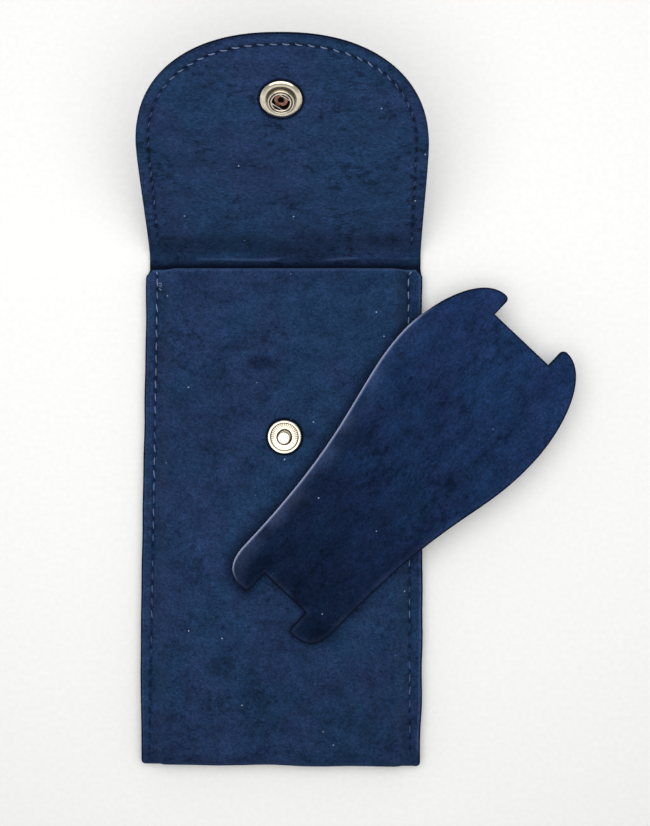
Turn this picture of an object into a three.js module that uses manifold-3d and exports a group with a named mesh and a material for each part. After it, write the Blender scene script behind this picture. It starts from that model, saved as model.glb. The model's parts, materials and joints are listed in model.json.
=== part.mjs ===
// A suede watch pouch lying on its back with the flap raised, and its stiff watch insert lying on it.
// Millimetres. +X to the right, +Y from the folded bottom to the flap, +Z up.
// The origin is the middle of the pouch's back face, which lies on z = 0.
import * as THREE from "three";
import { mergeVertices } from "three/addons/utils/BufferGeometryUtils.js";
import Module from "manifold-3d";

// Suede, lining and the small gap that keeps two sheets apart
const OUTER_SUEDE = 0.8;
const LINING_SUEDE = 0.6;
const SHEET_GAP = 0.2;

// Pouch body
const BODY_LENGTH = 143.3;
const MOUTH_WIDTH = 80.2;
const BODY_FLARE = 1.7;
const WIDEST_ABOVE_BOTTOM = 28;
const BOTTOM_DRAW_IN = 1.0;
const BODY_LEAN = 1.25;
const MOUTH_LEAN = 0.26;
const BOTTOM_CORNER_RADIUS = 1.3;
const MOUTH_CORNER_CUT = 1.5;
const LINING_PROUD = 0.4;
const POCKET_GAP = 4.6;
const BOTTOM_POCKET_GAP = 2.2;
const TAPER_LENGTH = 18;
const TAPER_END = 5;

// Shoulder that lifts the front wall from the sewn edge to its flat middle
const SEAM_FLANGE = 4.0;
const SHOULDER_TOP_RADIUS = 2.4;
const SHOULDER_FOOT_RADIUS = 0.8;
const SHOULDER_STEEPEST = 70;

// Flap, measured along its own sheet from the foot of the hinge
const FLAP_LENGTH = 70.0;
const FLAP_WIDTH = 79.9;
const FLAP_FOLD_WIDTH = 79.0;
const FLAP_ROUND_LENGTH = 37;
const FLAP_ROUNDNESS = 2.27;
const FLAP_RAISED = 46;
const HINGE_BEHIND_MOUTH = 2.9;

// Seams
const LEFT_SEAM_INSET = 2.7;
const RIGHT_SEAM_INSET = 3.4;
const FLAP_SEAM_INSET = 3.4;
const FLAP_SEAM_INSET_AT_FOLD = 2.9;
const FLAP_SEAM_INSET_AT_TIP = 2.8;
const BODY_STITCH = 3.7;
const FLAP_STITCH = 3.25;
const THREAD_WIDTH = 0.5;
const THREAD_HEIGHT = 0.36;
const THREAD_SEAT = 0.05;
const GROOVE_WEB = 0.1;
const GROOVE_WIDTH = 0.9;
const GROOVE_DEPTH = 0.5;
const NEEDLE_CREST = 0.3;
const BOBBIN_CREST = -0.02;
const SEAM_START = 1.5;
const SEAM_END = 4.5;

// Press fastener
const STUD_BELOW_MOUTH = 48.05;
const METAL_SEAT = 0.1;
const METAL_EDGE = 0.12;
const METAL_SHEET = 0.3;
const CAP_RADIUS = 6.2;
const CAP_HEIGHT = 1.5;
const SOCKET_RADIUS = 5.6;
const SOCKET_RIM = 0.42;
const RING_RADIUS = 3.54;
const RING_HEIGHT = 1.75;
const SOCKET_BORE = 2.39;
const SPRING_SLOT_RADIUS = 2.95;
const SPRING_HEIGHT = 1.3;
const WIRE_RADIUS = 0.18;
const WIRE_SPACING = 3.5;
const WIRE_TURN = 35;
const WELL_FLOOR = 0.5;
const CAP_POST_RADIUS = 1.1;
const CAP_POST_BORE = 0.7;
const ROLLED_END_RADIUS = 1.95;
const STUD_RADIUS = 4.8;
const STUD_RIM_HEIGHT = 0.9;
const STUD_TRAY_HEIGHT = 0.62;
const STUD_TRAY_RADIUS = 4.0;
const KNOB_RADIUS = 1.85;
const KNOB_HEIGHT = 2.0;
const KNOB_HEAD = 0.42;
const NECK_RADIUS = 1.45;
const EYELET_BARREL_RADIUS = 0.95;
const EYELET_FLANGE_RADIUS = 4.6;
const EYELET_FLANGE = 0.25;
const METAL_CLEARANCE = 0.15;
const HOLE_CLEARANCE = 0.35;
const SNAP_CLEARANCE = 0.15;

// Watch insert: a core board between two suede faces, cut to a bone shape
const INSERT_LENGTH = 99.2;
const INSERT_NARROW_WIDTH = 35.5;
const INSERT_WIDE_WIDTH = 52.8;
const INSERT_WIDEST_AT = 77;
const INSERT_SWAY = 0.6;
const NARROW_NOTCH_WIDTH = 16;
const NARROW_NOTCH_DEPTH = 7.2;
const WIDE_NOTCH_WIDTH = 21.2;
const WIDE_NOTCH_DEPTH = 6.2;
const HORN_TIP = 1.4;
const LOBE_ROUND = 9.7;
const WAIST_REACH = 45;
const HIP_REACH = 21;
const HORN_REACH = 12;
const SWAY_LENGTH = 27;
const INSERT_FACE = 0.5;
const INSERT_CORE = 0.7;
const INSERT_SHEET_GAP = 0.1;
const INSERT_SEAT = 0.2;
const INSERT_X = 0.1;
const INSERT_Y = -21.2;
const INSERT_TURN = 46.6;

// How finely the round shapes are cut
const FOLD_STEPS = 8;
const SHOULDER_STEPS = 3;
const TAPER_STEPS = 5;
const OUTLINE_STEPS = 28;
const LATHE_STEPS = 28;
const DOME_STEPS = 5;
const WIRE_STEPS = 9;
const WIRE_SIDES = 6;
const LOBE_STEPS = 5;
const SIDE_STEPS = 9;
const HORN_STEPS = 8;

// Sizes that follow from the ones above
const WALL = OUTER_SUEDE + SHEET_GAP + LINING_SUEDE;
const FLANGE_Z = 2 * WALL + SHEET_GAP;
const FRONT_Z = 2 * WALL + POCKET_GAP;
const BOTTOM_Z = 2 * WALL + BOTTOM_POCKET_GAP;
const MOUTH_Y = BODY_LENGTH / 2;
const BOTTOM_Y = -BODY_LENGTH / 2;
const SNAP_STACK = RING_HEIGHT + STUD_RIM_HEIGHT + SNAP_CLEARANCE;
const HINGE_Y = MOUTH_Y + HINGE_BEHIND_MOUTH;
const HINGE_Z = (WALL + FRONT_Z + SNAP_STACK) / 2;
const FOLD_RADIUS = HINGE_Z - WALL;
const STUD_Y = MOUTH_Y - STUD_BELOW_MOUTH;
const SOCKET_ALONG = HINGE_Y - STUD_Y;
const STUD_HOLE = EYELET_BARREL_RADIUS + HOLE_CLEARANCE;
const CAP_HOLE = CAP_POST_RADIUS + HOLE_CLEARANCE;
const OUTER_GROOVE = Math.min(GROOVE_DEPTH, OUTER_SUEDE - GROOVE_WEB);
const LINING_GROOVE = Math.min(GROOVE_DEPTH, LINING_SUEDE - GROOVE_WEB);
const DRILL_SPARE = 1;
const DEGREE = Math.PI / 180;

const wasm = await Module();
wasm.setup();

// Colours, roughness and metalness of the finishes
const navySuede = { color: 0x22375f, roughness: 0.95, metalness: 0 };
const darkSuede = { color: 0x182c52, roughness: 0.95, metalness: 0 };
const blueThread = { color: 0x5d6f93, roughness: 0.6, metalness: 0 };
const boardGrey = { color: 0x6b6760, roughness: 0.9, metalness: 0 };
const paleNickel = { color: 0xd8d2c4, roughness: 0.25, metalness: 1 };
const springSteel = { color: 0xc9c6bd, roughness: 0.3, metalness: 1 };
const copperedBrass = { color: 0xa9806a, roughness: 0.35, metalness: 1 };

function meshOf(name, geometry, finish) {
  const mesh = new THREE.Mesh(geometry, new THREE.MeshStandardMaterial(finish));
  mesh.name = name;
  return mesh;
}

function smoothstep(t) {
  const u = Math.min(1, Math.max(0, t));
  return u * u * (3 - 2 * u);
}

// A closed three.js geometry as a solid that can be cut
function solidOf(geometry) {
  const bare = geometry.index ? geometry.toNonIndexed() : geometry.clone();
  bare.deleteAttribute("normal");
  bare.deleteAttribute("uv");
  const merged = mergeVertices(bare, 1e-4);
  const vertProperties = merged.attributes.position.array;
  const triVerts = new Uint32Array(merged.index.array);
  return new wasm.Manifold(new wasm.Mesh({ numProp: 3, vertProperties, triVerts }));
}

function geometryOf(solid) {
  const cut = solid.getMesh();
  const geometry = new THREE.BufferGeometry();
  geometry.setAttribute("position", new THREE.BufferAttribute(new Float32Array(cut.vertProperties), 3));
  geometry.setIndex(new THREE.BufferAttribute(new Uint32Array(cut.triVerts), 1));
  return geometry;
}

// The geometry with each of the tools cut out of it
function cutAway(geometry, tools) {
  let solid = solidOf(geometry);
  for (const tool of tools) {
    solid = solid.subtract(solidOf(tool));
  }
  return geometryOf(solid);
}

// A round bar that drills through everything between two heights
function drill(radius, x, y, low, high) {
  const length = high - low + 2 * DRILL_SPARE;
  const bar = new THREE.CylinderGeometry(radius, radius, length, LATHE_STEPS);
  bar.rotateX(Math.PI / 2);
  bar.translate(x, y, (low + high) / 2);
  return bar;
}

// A solid from a grid of points on one face and the matching grid on the other, its four edges closed.
// The rows run along the sheet and each row runs across it.
function sheetBetween(top, bottom) {
  const rows = top.length;
  const columns = top[0].length;
  const places = [];
  for (const grid of [top, bottom]) {
    for (const row of grid) {
      for (const p of row) {
        places.push(p.x, p.y, p.z);
      }
    }
  }
  const at = (side, r, c) => (side * rows + r) * columns + c;
  const faces = [];
  const quad = (a, b, c, d) => faces.push(a, b, c, a, c, d);
  for (let r = 0; r + 1 < rows; r += 1) {
    for (let c = 0; c + 1 < columns; c += 1) {
      quad(at(0, r, c), at(0, r + 1, c), at(0, r + 1, c + 1), at(0, r, c + 1));
      quad(at(1, r, c), at(1, r, c + 1), at(1, r + 1, c + 1), at(1, r + 1, c));
    }
    quad(at(0, r, 0), at(1, r, 0), at(1, r + 1, 0), at(0, r + 1, 0));
    quad(at(0, r, columns - 1), at(0, r + 1, columns - 1), at(1, r + 1, columns - 1), at(1, r, columns - 1));
  }
  for (let c = 0; c + 1 < columns; c += 1) {
    quad(at(0, 0, c), at(0, 0, c + 1), at(1, 0, c + 1), at(1, 0, c));
    quad(at(0, rows - 1, c), at(1, rows - 1, c), at(1, rows - 1, c + 1), at(0, rows - 1, c + 1));
  }
  const geometry = new THREE.BufferGeometry();
  geometry.setAttribute("position", new THREE.Float32BufferAttribute(places, 3));
  geometry.setIndex(faces);
  return geometry;
}

// Half the body's width at a height y: it flares from the mouth and is drawn in again at the fold
function bodyHalfWidth(y) {
  const widestY = BOTTOM_Y + WIDEST_ABOVE_BOTTOM;
  const flare = (BODY_FLARE / 2) * smoothstep((MOUTH_Y - y) / (MOUTH_Y - widestY));
  const drawIn = (BOTTOM_DRAW_IN / 2) * smoothstep((widestY - y) / WIDEST_ABOVE_BOTTOM);
  const above = Math.max(0, BOTTOM_CORNER_RADIUS - (y - BOTTOM_Y));
  const corner = BOTTOM_CORNER_RADIUS - Math.sqrt(Math.max(0, BOTTOM_CORNER_RADIUS ** 2 - above ** 2));
  return MOUTH_WIDTH / 2 + flare - drawIn - corner;
}

// The body leans a little to the left on its way down, as a hand-cut panel does
function bodyCentre(y) {
  return -MOUTH_LEAN - (BODY_LEAN - MOUTH_LEAN) * ((MOUTH_Y - y) / BODY_LENGTH);
}

// The front wall's corners at the mouth are cut off, so its edge is set in there
function cornerCut(y) {
  return Math.min(MOUTH_CORNER_CUT, Math.max(0, MOUTH_CORNER_CUT - (MOUTH_Y - y)));
}

// The back wall narrows past the mouth to the width of the fold
function backHalfWidth(y) {
  const past = smoothstep((y - MOUTH_Y + MOUTH_CORNER_CUT) / (HINGE_BEHIND_MOUTH + MOUTH_CORNER_CUT));
  return bodyHalfWidth(Math.min(y, MOUTH_Y)) * (1 - past) + (FLAP_FOLD_WIDTH / 2) * past;
}

// Height of the front wall's flat middle: constant, then down to the folded bottom
function middleHeight(y) {
  const down = (BOTTOM_Y + TAPER_END + TAPER_LENGTH - y) / TAPER_LENGTH;
  return FRONT_Z + (BOTTOM_Z - FRONT_Z) * smoothstep(down);
}

// Section of the front wall from its edge to its flat middle, as points of distance from the edge and
// height, for the face that lies depth below the pouch's outside: flat flange, arc, slope, arc
function shoulder(depth, height) {
  const rise = height - FLANGE_Z;
  const radii = SHOULDER_TOP_RADIUS + SHOULDER_FOOT_RADIUS;
  const steep = Math.min(SHOULDER_STEEPEST * DEGREE, Math.acos(Math.max(-1, 1 - rise / radii)));
  const straight = Math.max(0, (rise - radii * (1 - Math.cos(steep))) / Math.sin(steep));
  const top = SEAM_FLANGE + radii * Math.sin(steep) + straight * Math.cos(steep);
  const points = [[0, FLANGE_Z - depth]];
  for (let i = 0; i <= SHOULDER_STEPS; i += 1) {
    const a = (steep * i) / SHOULDER_STEPS;
    const r = SHOULDER_FOOT_RADIUS + depth;
    points.push([SEAM_FLANGE + r * Math.sin(a), FLANGE_Z + SHOULDER_FOOT_RADIUS - r * Math.cos(a)]);
  }
  for (let i = SHOULDER_STEPS; i >= 0; i -= 1) {
    const a = (steep * i) / SHOULDER_STEPS;
    const r = SHOULDER_TOP_RADIUS - depth;
    points.push([top - r * Math.sin(a), height - SHOULDER_TOP_RADIUS + r * Math.cos(a)]);
  }
  return points;
}

// The rows of one face of the body's sheet, from the front wall's mouth down, round the bottom fold and
// up the back wall, with an extra length of front wall past the mouth
function bodyRows(depth, pastMouth) {
  const rows = [];
  const taperTop = BOTTOM_Y + TAPER_END + TAPER_LENGTH;
  const frontPlaces = [MOUTH_Y + pastMouth, MOUTH_Y - MOUTH_CORNER_CUT];
  for (let i = 0; i <= TAPER_STEPS; i += 1) {
    frontPlaces.push(taperTop - (TAPER_LENGTH * i) / TAPER_STEPS);
  }
  const across = (y, halfWidth, section) => {
    const centre = bodyCentre(y);
    const left = section.map(([inset, z]) => new THREE.Vector3(centre - halfWidth + inset, y, z));
    const right = section.map(([inset, z]) => new THREE.Vector3(centre + halfWidth - inset, y, z));
    return [...left, ...right.reverse()];
  };
  for (const y of frontPlaces) {
    const section = shoulder(depth, middleHeight(y)).map(([inset, z]) => [Math.max(inset, cornerCut(y)), z]);
    rows.push(across(y, bodyHalfWidth(Math.min(y, MOUTH_Y)), section));
  }
  const outside = shoulder(0, BOTTOM_Z);
  const section = shoulder(depth, BOTTOM_Z);
  for (let i = 0; i <= FOLD_STEPS; i += 1) {
    const a = (Math.PI * i) / FOLD_STEPS;
    const row = [];
    for (const side of [-1, 1]) {
      const half = section.map(([inset], k) => {
        const radius = outside[k][1] / 2;
        const reach = radius - depth;
        const y = BOTTOM_Y + radius - reach * Math.sin(a);
        const outerY = BOTTOM_Y + radius - radius * Math.sin(a);
        const x = bodyCentre(y) + side * (bodyHalfWidth(outerY) - inset);
        return new THREE.Vector3(x, y, radius + reach * Math.cos(a));
      });
      row.push(...(side < 0 ? half : half.reverse()));
    }
    rows.push(row);
  }
  const flat = shoulder(depth, FRONT_Z).map(([inset]) => [inset, depth]);
  for (const y of [taperTop, MOUTH_Y - MOUTH_CORNER_CUT, (MOUTH_Y + HINGE_Y) / 2, HINGE_Y - SHEET_GAP]) {
    rows.push(across(y, backHalfWidth(y), flat));
  }
  return rows;
}

// A thread that dips into its groove once a stitch: a four-sided bar along the path, its crests at a
// height over the sheet's face. pathAt gives the place and direction at a distance along the seam, up is
// the way out of the sheet, skin is the face's distance from the path that way, and depth the groove's.
function threadAlong(pathAt, length, stitch, up, skin, crestHeight, depth) {
  const count = Math.max(1, Math.round(length / stitch));
  const crest = crestHeight - THREAD_HEIGHT / 2;
  const dip = THREAD_HEIGHT / 2 + THREAD_SEAT - depth;
  const upper = [];
  const lower = [];
  for (let i = 0; i <= 2 * count; i += 1) {
    const { place, along } = pathAt((length * i) / (2 * count));
    const side = new THREE.Vector3().crossVectors(up, along).normalize();
    const middle = skin + (i % 2 ? crest : dip);
    const corner = (s, h) =>
      place
        .clone()
        .addScaledVector(side, (s * THREAD_WIDTH) / 2)
        .addScaledVector(up, middle + (h * THREAD_HEIGHT) / 2);
    upper.push([corner(-1, 1), corner(1, 1)]);
    lower.push([corner(-1, -1), corner(1, -1)]);
  }
  return sheetBetween(upper, lower);
}

// A bar along the seam that cuts its groove, from a little over the sheet's face to the groove's floor
function grooveAlong(pathAt, length, steps, up, skin, depth) {
  const above = [];
  const below = [];
  for (let i = 0; i <= steps; i += 1) {
    const { place, along } = pathAt(-GROOVE_WIDTH + ((length + 2 * GROOVE_WIDTH) * i) / steps);
    const side = new THREE.Vector3().crossVectors(up, along).normalize();
    const corner = (s, h) =>
      place.clone().addScaledVector(side, (s * GROOVE_WIDTH) / 2).addScaledVector(up, skin + h);
    above.push([corner(-1, depth), corner(1, depth)]);
    below.push([corner(-1, -depth), corner(1, -depth)]);
  }
  return sheetBetween(above, below);
}

// A side seam as a straight line beside the body's edge, from near the mouth to near the fold
function sideSeam(side, inset) {
  const place = (y) => new THREE.Vector3(bodyCentre(y) + side * (bodyHalfWidth(y) - inset), y, 0);
  const from = place(MOUTH_Y - SEAM_START);
  const to = place(BOTTOM_Y + SEAM_END);
  const along = to.clone().sub(from).normalize();
  const length = from.distanceTo(to);
  const pathAt = (distance) => ({ place: from.clone().addScaledVector(along, distance), along });
  return { pathAt, length };
}

const UP = new THREE.Vector3(0, 0, 1);
const DOWN = new THREE.Vector3(0, 0, -1);
const seams = { left: sideSeam(-1, LEFT_SEAM_INSET), right: sideSeam(1, RIGHT_SEAM_INSET) };

function pouchOuter() {
  const sheet = sheetBetween(bodyRows(0, 0), bodyRows(OUTER_SUEDE, 0));
  const tools = [drill(STUD_HOLE, 0, STUD_Y, FRONT_Z - WALL, FRONT_Z)];
  for (const seam of Object.values(seams)) {
    tools.push(grooveAlong(seam.pathAt, seam.length, 1, UP, FLANGE_Z, OUTER_GROOVE));
    tools.push(grooveAlong(seam.pathAt, seam.length, 1, DOWN, 0, OUTER_GROOVE));
  }
  return meshOf("pouch_outer", cutAway(sheet, tools), navySuede);
}

function pouchLining() {
  const sheet = sheetBetween(bodyRows(WALL - LINING_SUEDE, LINING_PROUD), bodyRows(WALL, LINING_PROUD));
  const hole = drill(STUD_HOLE, 0, STUD_Y, FRONT_Z - WALL, FRONT_Z);
  return meshOf("pouch_lining", cutAway(sheet, [hole]), navySuede);
}

// The sheet between the back wall and the flap, bent round the hinge line
function foldStrip(name, inner, outer, finish) {
  const spare = SHEET_GAP / outer;
  const from = -Math.PI / 2 + spare;
  const to = -Math.PI / 2 + FLAP_RAISED * DEGREE - spare;
  const rows = (radius) => {
    const made = [];
    for (let i = 0; i <= FOLD_STEPS; i += 1) {
      const a = from + ((to - from) * i) / FOLD_STEPS;
      const y = HINGE_Y + radius * Math.cos(a);
      const z = HINGE_Z + radius * Math.sin(a);
      made.push([-1, 1].map((side) => new THREE.Vector3((side * FLAP_FOLD_WIDTH) / 2, y, z)));
    }
    return made;
  };
  return meshOf(name, sheetBetween(rows(outer), rows(inner)), finish);
}

// Half the flap's width at a distance along it: nearly straight sides, then a round end
function flapHalfWidth(along) {
  const start = FLAP_LENGTH - FLAP_ROUND_LENGTH;
  const swell = smoothstep(along / start);
  const side = (FLAP_FOLD_WIDTH + (FLAP_WIDTH - FLAP_FOLD_WIDTH) * swell) / 2;
  const t = Math.min(1, Math.max(0, (along - start) / FLAP_ROUND_LENGTH));
  return side * (1 - t ** FLAP_ROUNDNESS) ** (1 / FLAP_ROUNDNESS);
}

// The flap's outline from its left foot round the end to its right foot, in the flap's own plane
function flapOutline() {
  const start = FLAP_LENGTH - FLAP_ROUND_LENGTH;
  const half = [];
  half.push([SHEET_GAP, flapHalfWidth(SHEET_GAP)], [start / 2, flapHalfWidth(start / 2)]);
  for (let i = 0; i < OUTLINE_STEPS / 2; i += 1) {
    const a = (Math.PI / 2) * ((2 * i) / OUTLINE_STEPS);
    const along = start + FLAP_ROUND_LENGTH * Math.sin(a) ** (2 / FLAP_ROUNDNESS);
    half.push([along, flapHalfWidth(along)]);
  }
  const left = half.map(([along, w]) => new THREE.Vector2(-w, along));
  const right = half.map(([along, w]) => new THREE.Vector2(w, along)).reverse();
  return [...left, new THREE.Vector2(0, FLAP_LENGTH), ...right];
}

// A line that runs inside another, on its right-hand side, at a distance that the place gives
function insetLine(points, distanceAt) {
  return points.map((p, i) => {
    const before = points[Math.max(0, i - 1)];
    const after = points[Math.min(points.length - 1, i + 1)];
    const along = after.clone().sub(before).normalize();
    const distance = distanceAt(p);
    return new THREE.Vector2(p.x + along.y * distance, p.y - along.x * distance);
  });
}

// The flap's seam, as a place and a direction at each distance along it, in the flap's own plane
function flapSeam() {
  const straight = FLAP_LENGTH - FLAP_ROUND_LENGTH;
  const widening = FLAP_SEAM_INSET - FLAP_SEAM_INSET_AT_FOLD;
  const narrowing = FLAP_SEAM_INSET - FLAP_SEAM_INSET_AT_TIP;
  const insetAt = (p) =>
    FLAP_SEAM_INSET_AT_FOLD +
    widening * smoothstep(p.y / straight) -
    narrowing * smoothstep((p.y - straight) / FLAP_ROUND_LENGTH);
  const line = insetLine(flapOutline(), insetAt);
  line[0].y = SEAM_START;
  line[line.length - 1].y = SEAM_START;
  const curve = new THREE.CatmullRomCurve3(line.map((p) => new THREE.Vector3(p.x, p.y, 0)));
  const length = curve.getLength();
  const pathAt = (distance) => {
    const t = Math.min(1, Math.max(0, distance / length));
    const along = curve.getTangentAt(t);
    const spill = distance - t * length;
    return { place: curve.getPointAt(t).addScaledVector(along, spill), along };
  };
  return { pathAt, length };
}

const flapStitchLine = flapSeam();

// A flat sheet cut to the flap's outline, between two heights of the flap's own frame
function flapSheet(low, high) {
  const sheet = new THREE.ExtrudeGeometry(new THREE.Shape(flapOutline()), {
    depth: high - low,
    bevelEnabled: false,
  });
  sheet.translate(0, 0, low);
  return sheet;
}

function flapGroup() {
  const group = new THREE.Group();
  const inside = -FOLD_RADIUS;
  const outside = inside - WALL;
  const { pathAt, length } = flapStitchLine;
  const hole = drill(CAP_HOLE, 0, SOCKET_ALONG, outside, inside);
  const insideGroove = grooveAlong(pathAt, length, 2 * OUTLINE_STEPS, UP, inside, LINING_GROOVE);
  const outsideGroove = grooveAlong(pathAt, length, 2 * OUTLINE_STEPS, DOWN, -outside, OUTER_GROOVE);
  const lining = cutAway(flapSheet(inside - LINING_SUEDE, inside), [hole, insideGroove]);
  const outer = cutAway(flapSheet(outside, outside + OUTER_SUEDE), [hole, outsideGroove]);
  group.add(meshOf("flap_lining", lining, navySuede));
  group.add(meshOf("flap_outer", outer, navySuede));
  const needle = threadAlong(pathAt, length, FLAP_STITCH, UP, inside, NEEDLE_CREST, LINING_GROOVE);
  const bobbin = threadAlong(pathAt, length, FLAP_STITCH, DOWN, -outside, BOBBIN_CREST, OUTER_GROOVE);
  group.add(meshOf("flap_needle_thread", needle, blueThread));
  group.add(meshOf("flap_bobbin_thread", bobbin, blueThread));
  group.add(...socketHalf(inside));
  group.position.set(0, HINGE_Y, HINGE_Z);
  group.rotation.x = FLAP_RAISED * DEGREE;
  return group;
}

// A turned piece from its section, as points of radius and height, about the upright axis
function turned(name, section, finish) {
  const profile = section.map(([r, z]) => new THREE.Vector2(r, z));
  const geometry = new THREE.LatheGeometry(profile, LATHE_STEPS);
  geometry.rotateX(Math.PI / 2);
  return meshOf(name, geometry, finish);
}

// Domed cap outside the flap, with its post through both sheets and the post's rolled end in the socket
function snapCap(inside) {
  const under = -WALL - METAL_SEAT;
  const rolled = WELL_FLOOR + METAL_EDGE / 2;
  const dome = [];
  for (let i = 0; i <= DOME_STEPS; i += 1) {
    const a = (Math.PI / 2) * (i / DOME_STEPS);
    dome.push([CAP_RADIUS * Math.sin(a), under - METAL_SHEET - (CAP_HEIGHT - METAL_SHEET) * Math.cos(a)]);
  }
  const section = [
    ...dome,
    [CAP_RADIUS - METAL_EDGE, under],
    [CAP_POST_RADIUS, under],
    [CAP_POST_RADIUS, rolled],
    [ROLLED_END_RADIUS - METAL_EDGE, rolled],
    [ROLLED_END_RADIUS, rolled + METAL_EDGE / 2],
    [ROLLED_END_RADIUS - 2 * METAL_EDGE, rolled + METAL_EDGE],
    [CAP_POST_BORE + METAL_EDGE, rolled + METAL_EDGE / 2],
    [CAP_POST_BORE, rolled - METAL_EDGE],
    [CAP_POST_BORE, rolled - METAL_SHEET],
    [0, rolled - METAL_SHEET],
  ];
  const cap = turned("snap_cap", section, paleNickel);
  cap.position.set(0, SOCKET_ALONG, inside);
  return cap;
}

function socketHalf(inside) {
  const postHole = CAP_POST_RADIUS + METAL_CLEARANCE;
  const slotHalf = WIRE_RADIUS + METAL_CLEARANCE / 2;
  const section = [
    [postHole, METAL_SEAT],
    [SOCKET_RADIUS - METAL_EDGE, METAL_SEAT],
    [SOCKET_RADIUS, (METAL_SEAT + SOCKET_RIM) / 2],
    [SOCKET_RADIUS - METAL_EDGE, SOCKET_RIM],
    [RING_RADIUS + METAL_SHEET, SOCKET_RIM + METAL_EDGE],
    [RING_RADIUS, SOCKET_RIM + METAL_SHEET],
    [RING_RADIUS, RING_HEIGHT - METAL_SHEET],
    [RING_RADIUS - METAL_EDGE, RING_HEIGHT - METAL_EDGE],
    [RING_RADIUS - METAL_SHEET, RING_HEIGHT],
    [SOCKET_BORE + METAL_SHEET, RING_HEIGHT],
    [SOCKET_BORE, RING_HEIGHT - METAL_EDGE],
    [SOCKET_BORE, SPRING_HEIGHT + slotHalf],
    [SPRING_SLOT_RADIUS, SPRING_HEIGHT + slotHalf],
    [SPRING_SLOT_RADIUS, SPRING_HEIGHT - slotHalf],
    [SOCKET_BORE, SPRING_HEIGHT - slotHalf],
    [SOCKET_BORE, WELL_FLOOR],
    [postHole, WELL_FLOOR],
    [postHole, METAL_SEAT],
  ];
  const socket = turned("snap_socket", section, paleNickel);
  const spring = meshOf("snap_spring", springWire(), springSteel);
  socket.position.set(0, SOCKET_ALONG, inside);
  spring.position.set(0, SOCKET_ALONG, inside + SPRING_HEIGHT);
  spring.rotation.z = -WIRE_TURN * DEGREE;
  return [snapCap(inside), socket, spring];
}

// One wire in the socket's slot: a straight run either side of the stud's neck, joined round the slot
function springWire() {
  const bend = SPRING_SLOT_RADIUS - WIRE_RADIUS - METAL_CLEARANCE / 2;
  const offset = WIRE_SPACING / 2;
  const reach = Math.sqrt(bend ** 2 - offset ** 2);
  const edge = Math.atan2(offset, reach);
  const places = [new THREE.Vector3(-reach, offset, 0)];
  for (let i = 0; i <= WIRE_STEPS; i += 1) {
    const a = edge - (2 * edge * i) / WIRE_STEPS;
    places.push(new THREE.Vector3(bend * Math.cos(a), bend * Math.sin(a), 0));
  }
  places.push(new THREE.Vector3(-reach, -offset, 0));
  const rings = places.map((place, i) => {
    const before = places[Math.max(0, i - 1)];
    const after = places[Math.min(places.length - 1, i + 1)];
    const along = after.clone().sub(before).normalize();
    const side = new THREE.Vector3().crossVectors(UP, along).normalize();
    const ring = [];
    for (let k = 0; k < WIRE_SIDES; k += 1) {
      const a = (2 * Math.PI * k) / WIRE_SIDES;
      const out = place.clone().addScaledVector(side, WIRE_RADIUS * Math.cos(a));
      ring.push(out.addScaledVector(UP, WIRE_RADIUS * Math.sin(a)));
    }
    return ring;
  });
  return tubeThrough(rings);
}

// A tube through rings of points, closed at both ends
function tubeThrough(rings) {
  const sides = rings[0].length;
  const places = rings.flat().flatMap((p) => [p.x, p.y, p.z]);
  const faces = [];
  for (let r = 0; r + 1 < rings.length; r += 1) {
    for (let k = 0; k < sides; k += 1) {
      const a = r * sides + k;
      const b = r * sides + ((k + 1) % sides);
      faces.push(a, b, b + sides, a, b + sides, a + sides);
    }
  }
  const last = (rings.length - 1) * sides;
  for (let k = 1; k + 1 < sides; k += 1) {
    faces.push(0, k + 1, k, last, last + k, last + k + 1);
  }
  const geometry = new THREE.BufferGeometry();
  geometry.setAttribute("position", new THREE.Float32BufferAttribute(places, 3));
  geometry.setIndex(faces);
  return geometry;
}

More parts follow.
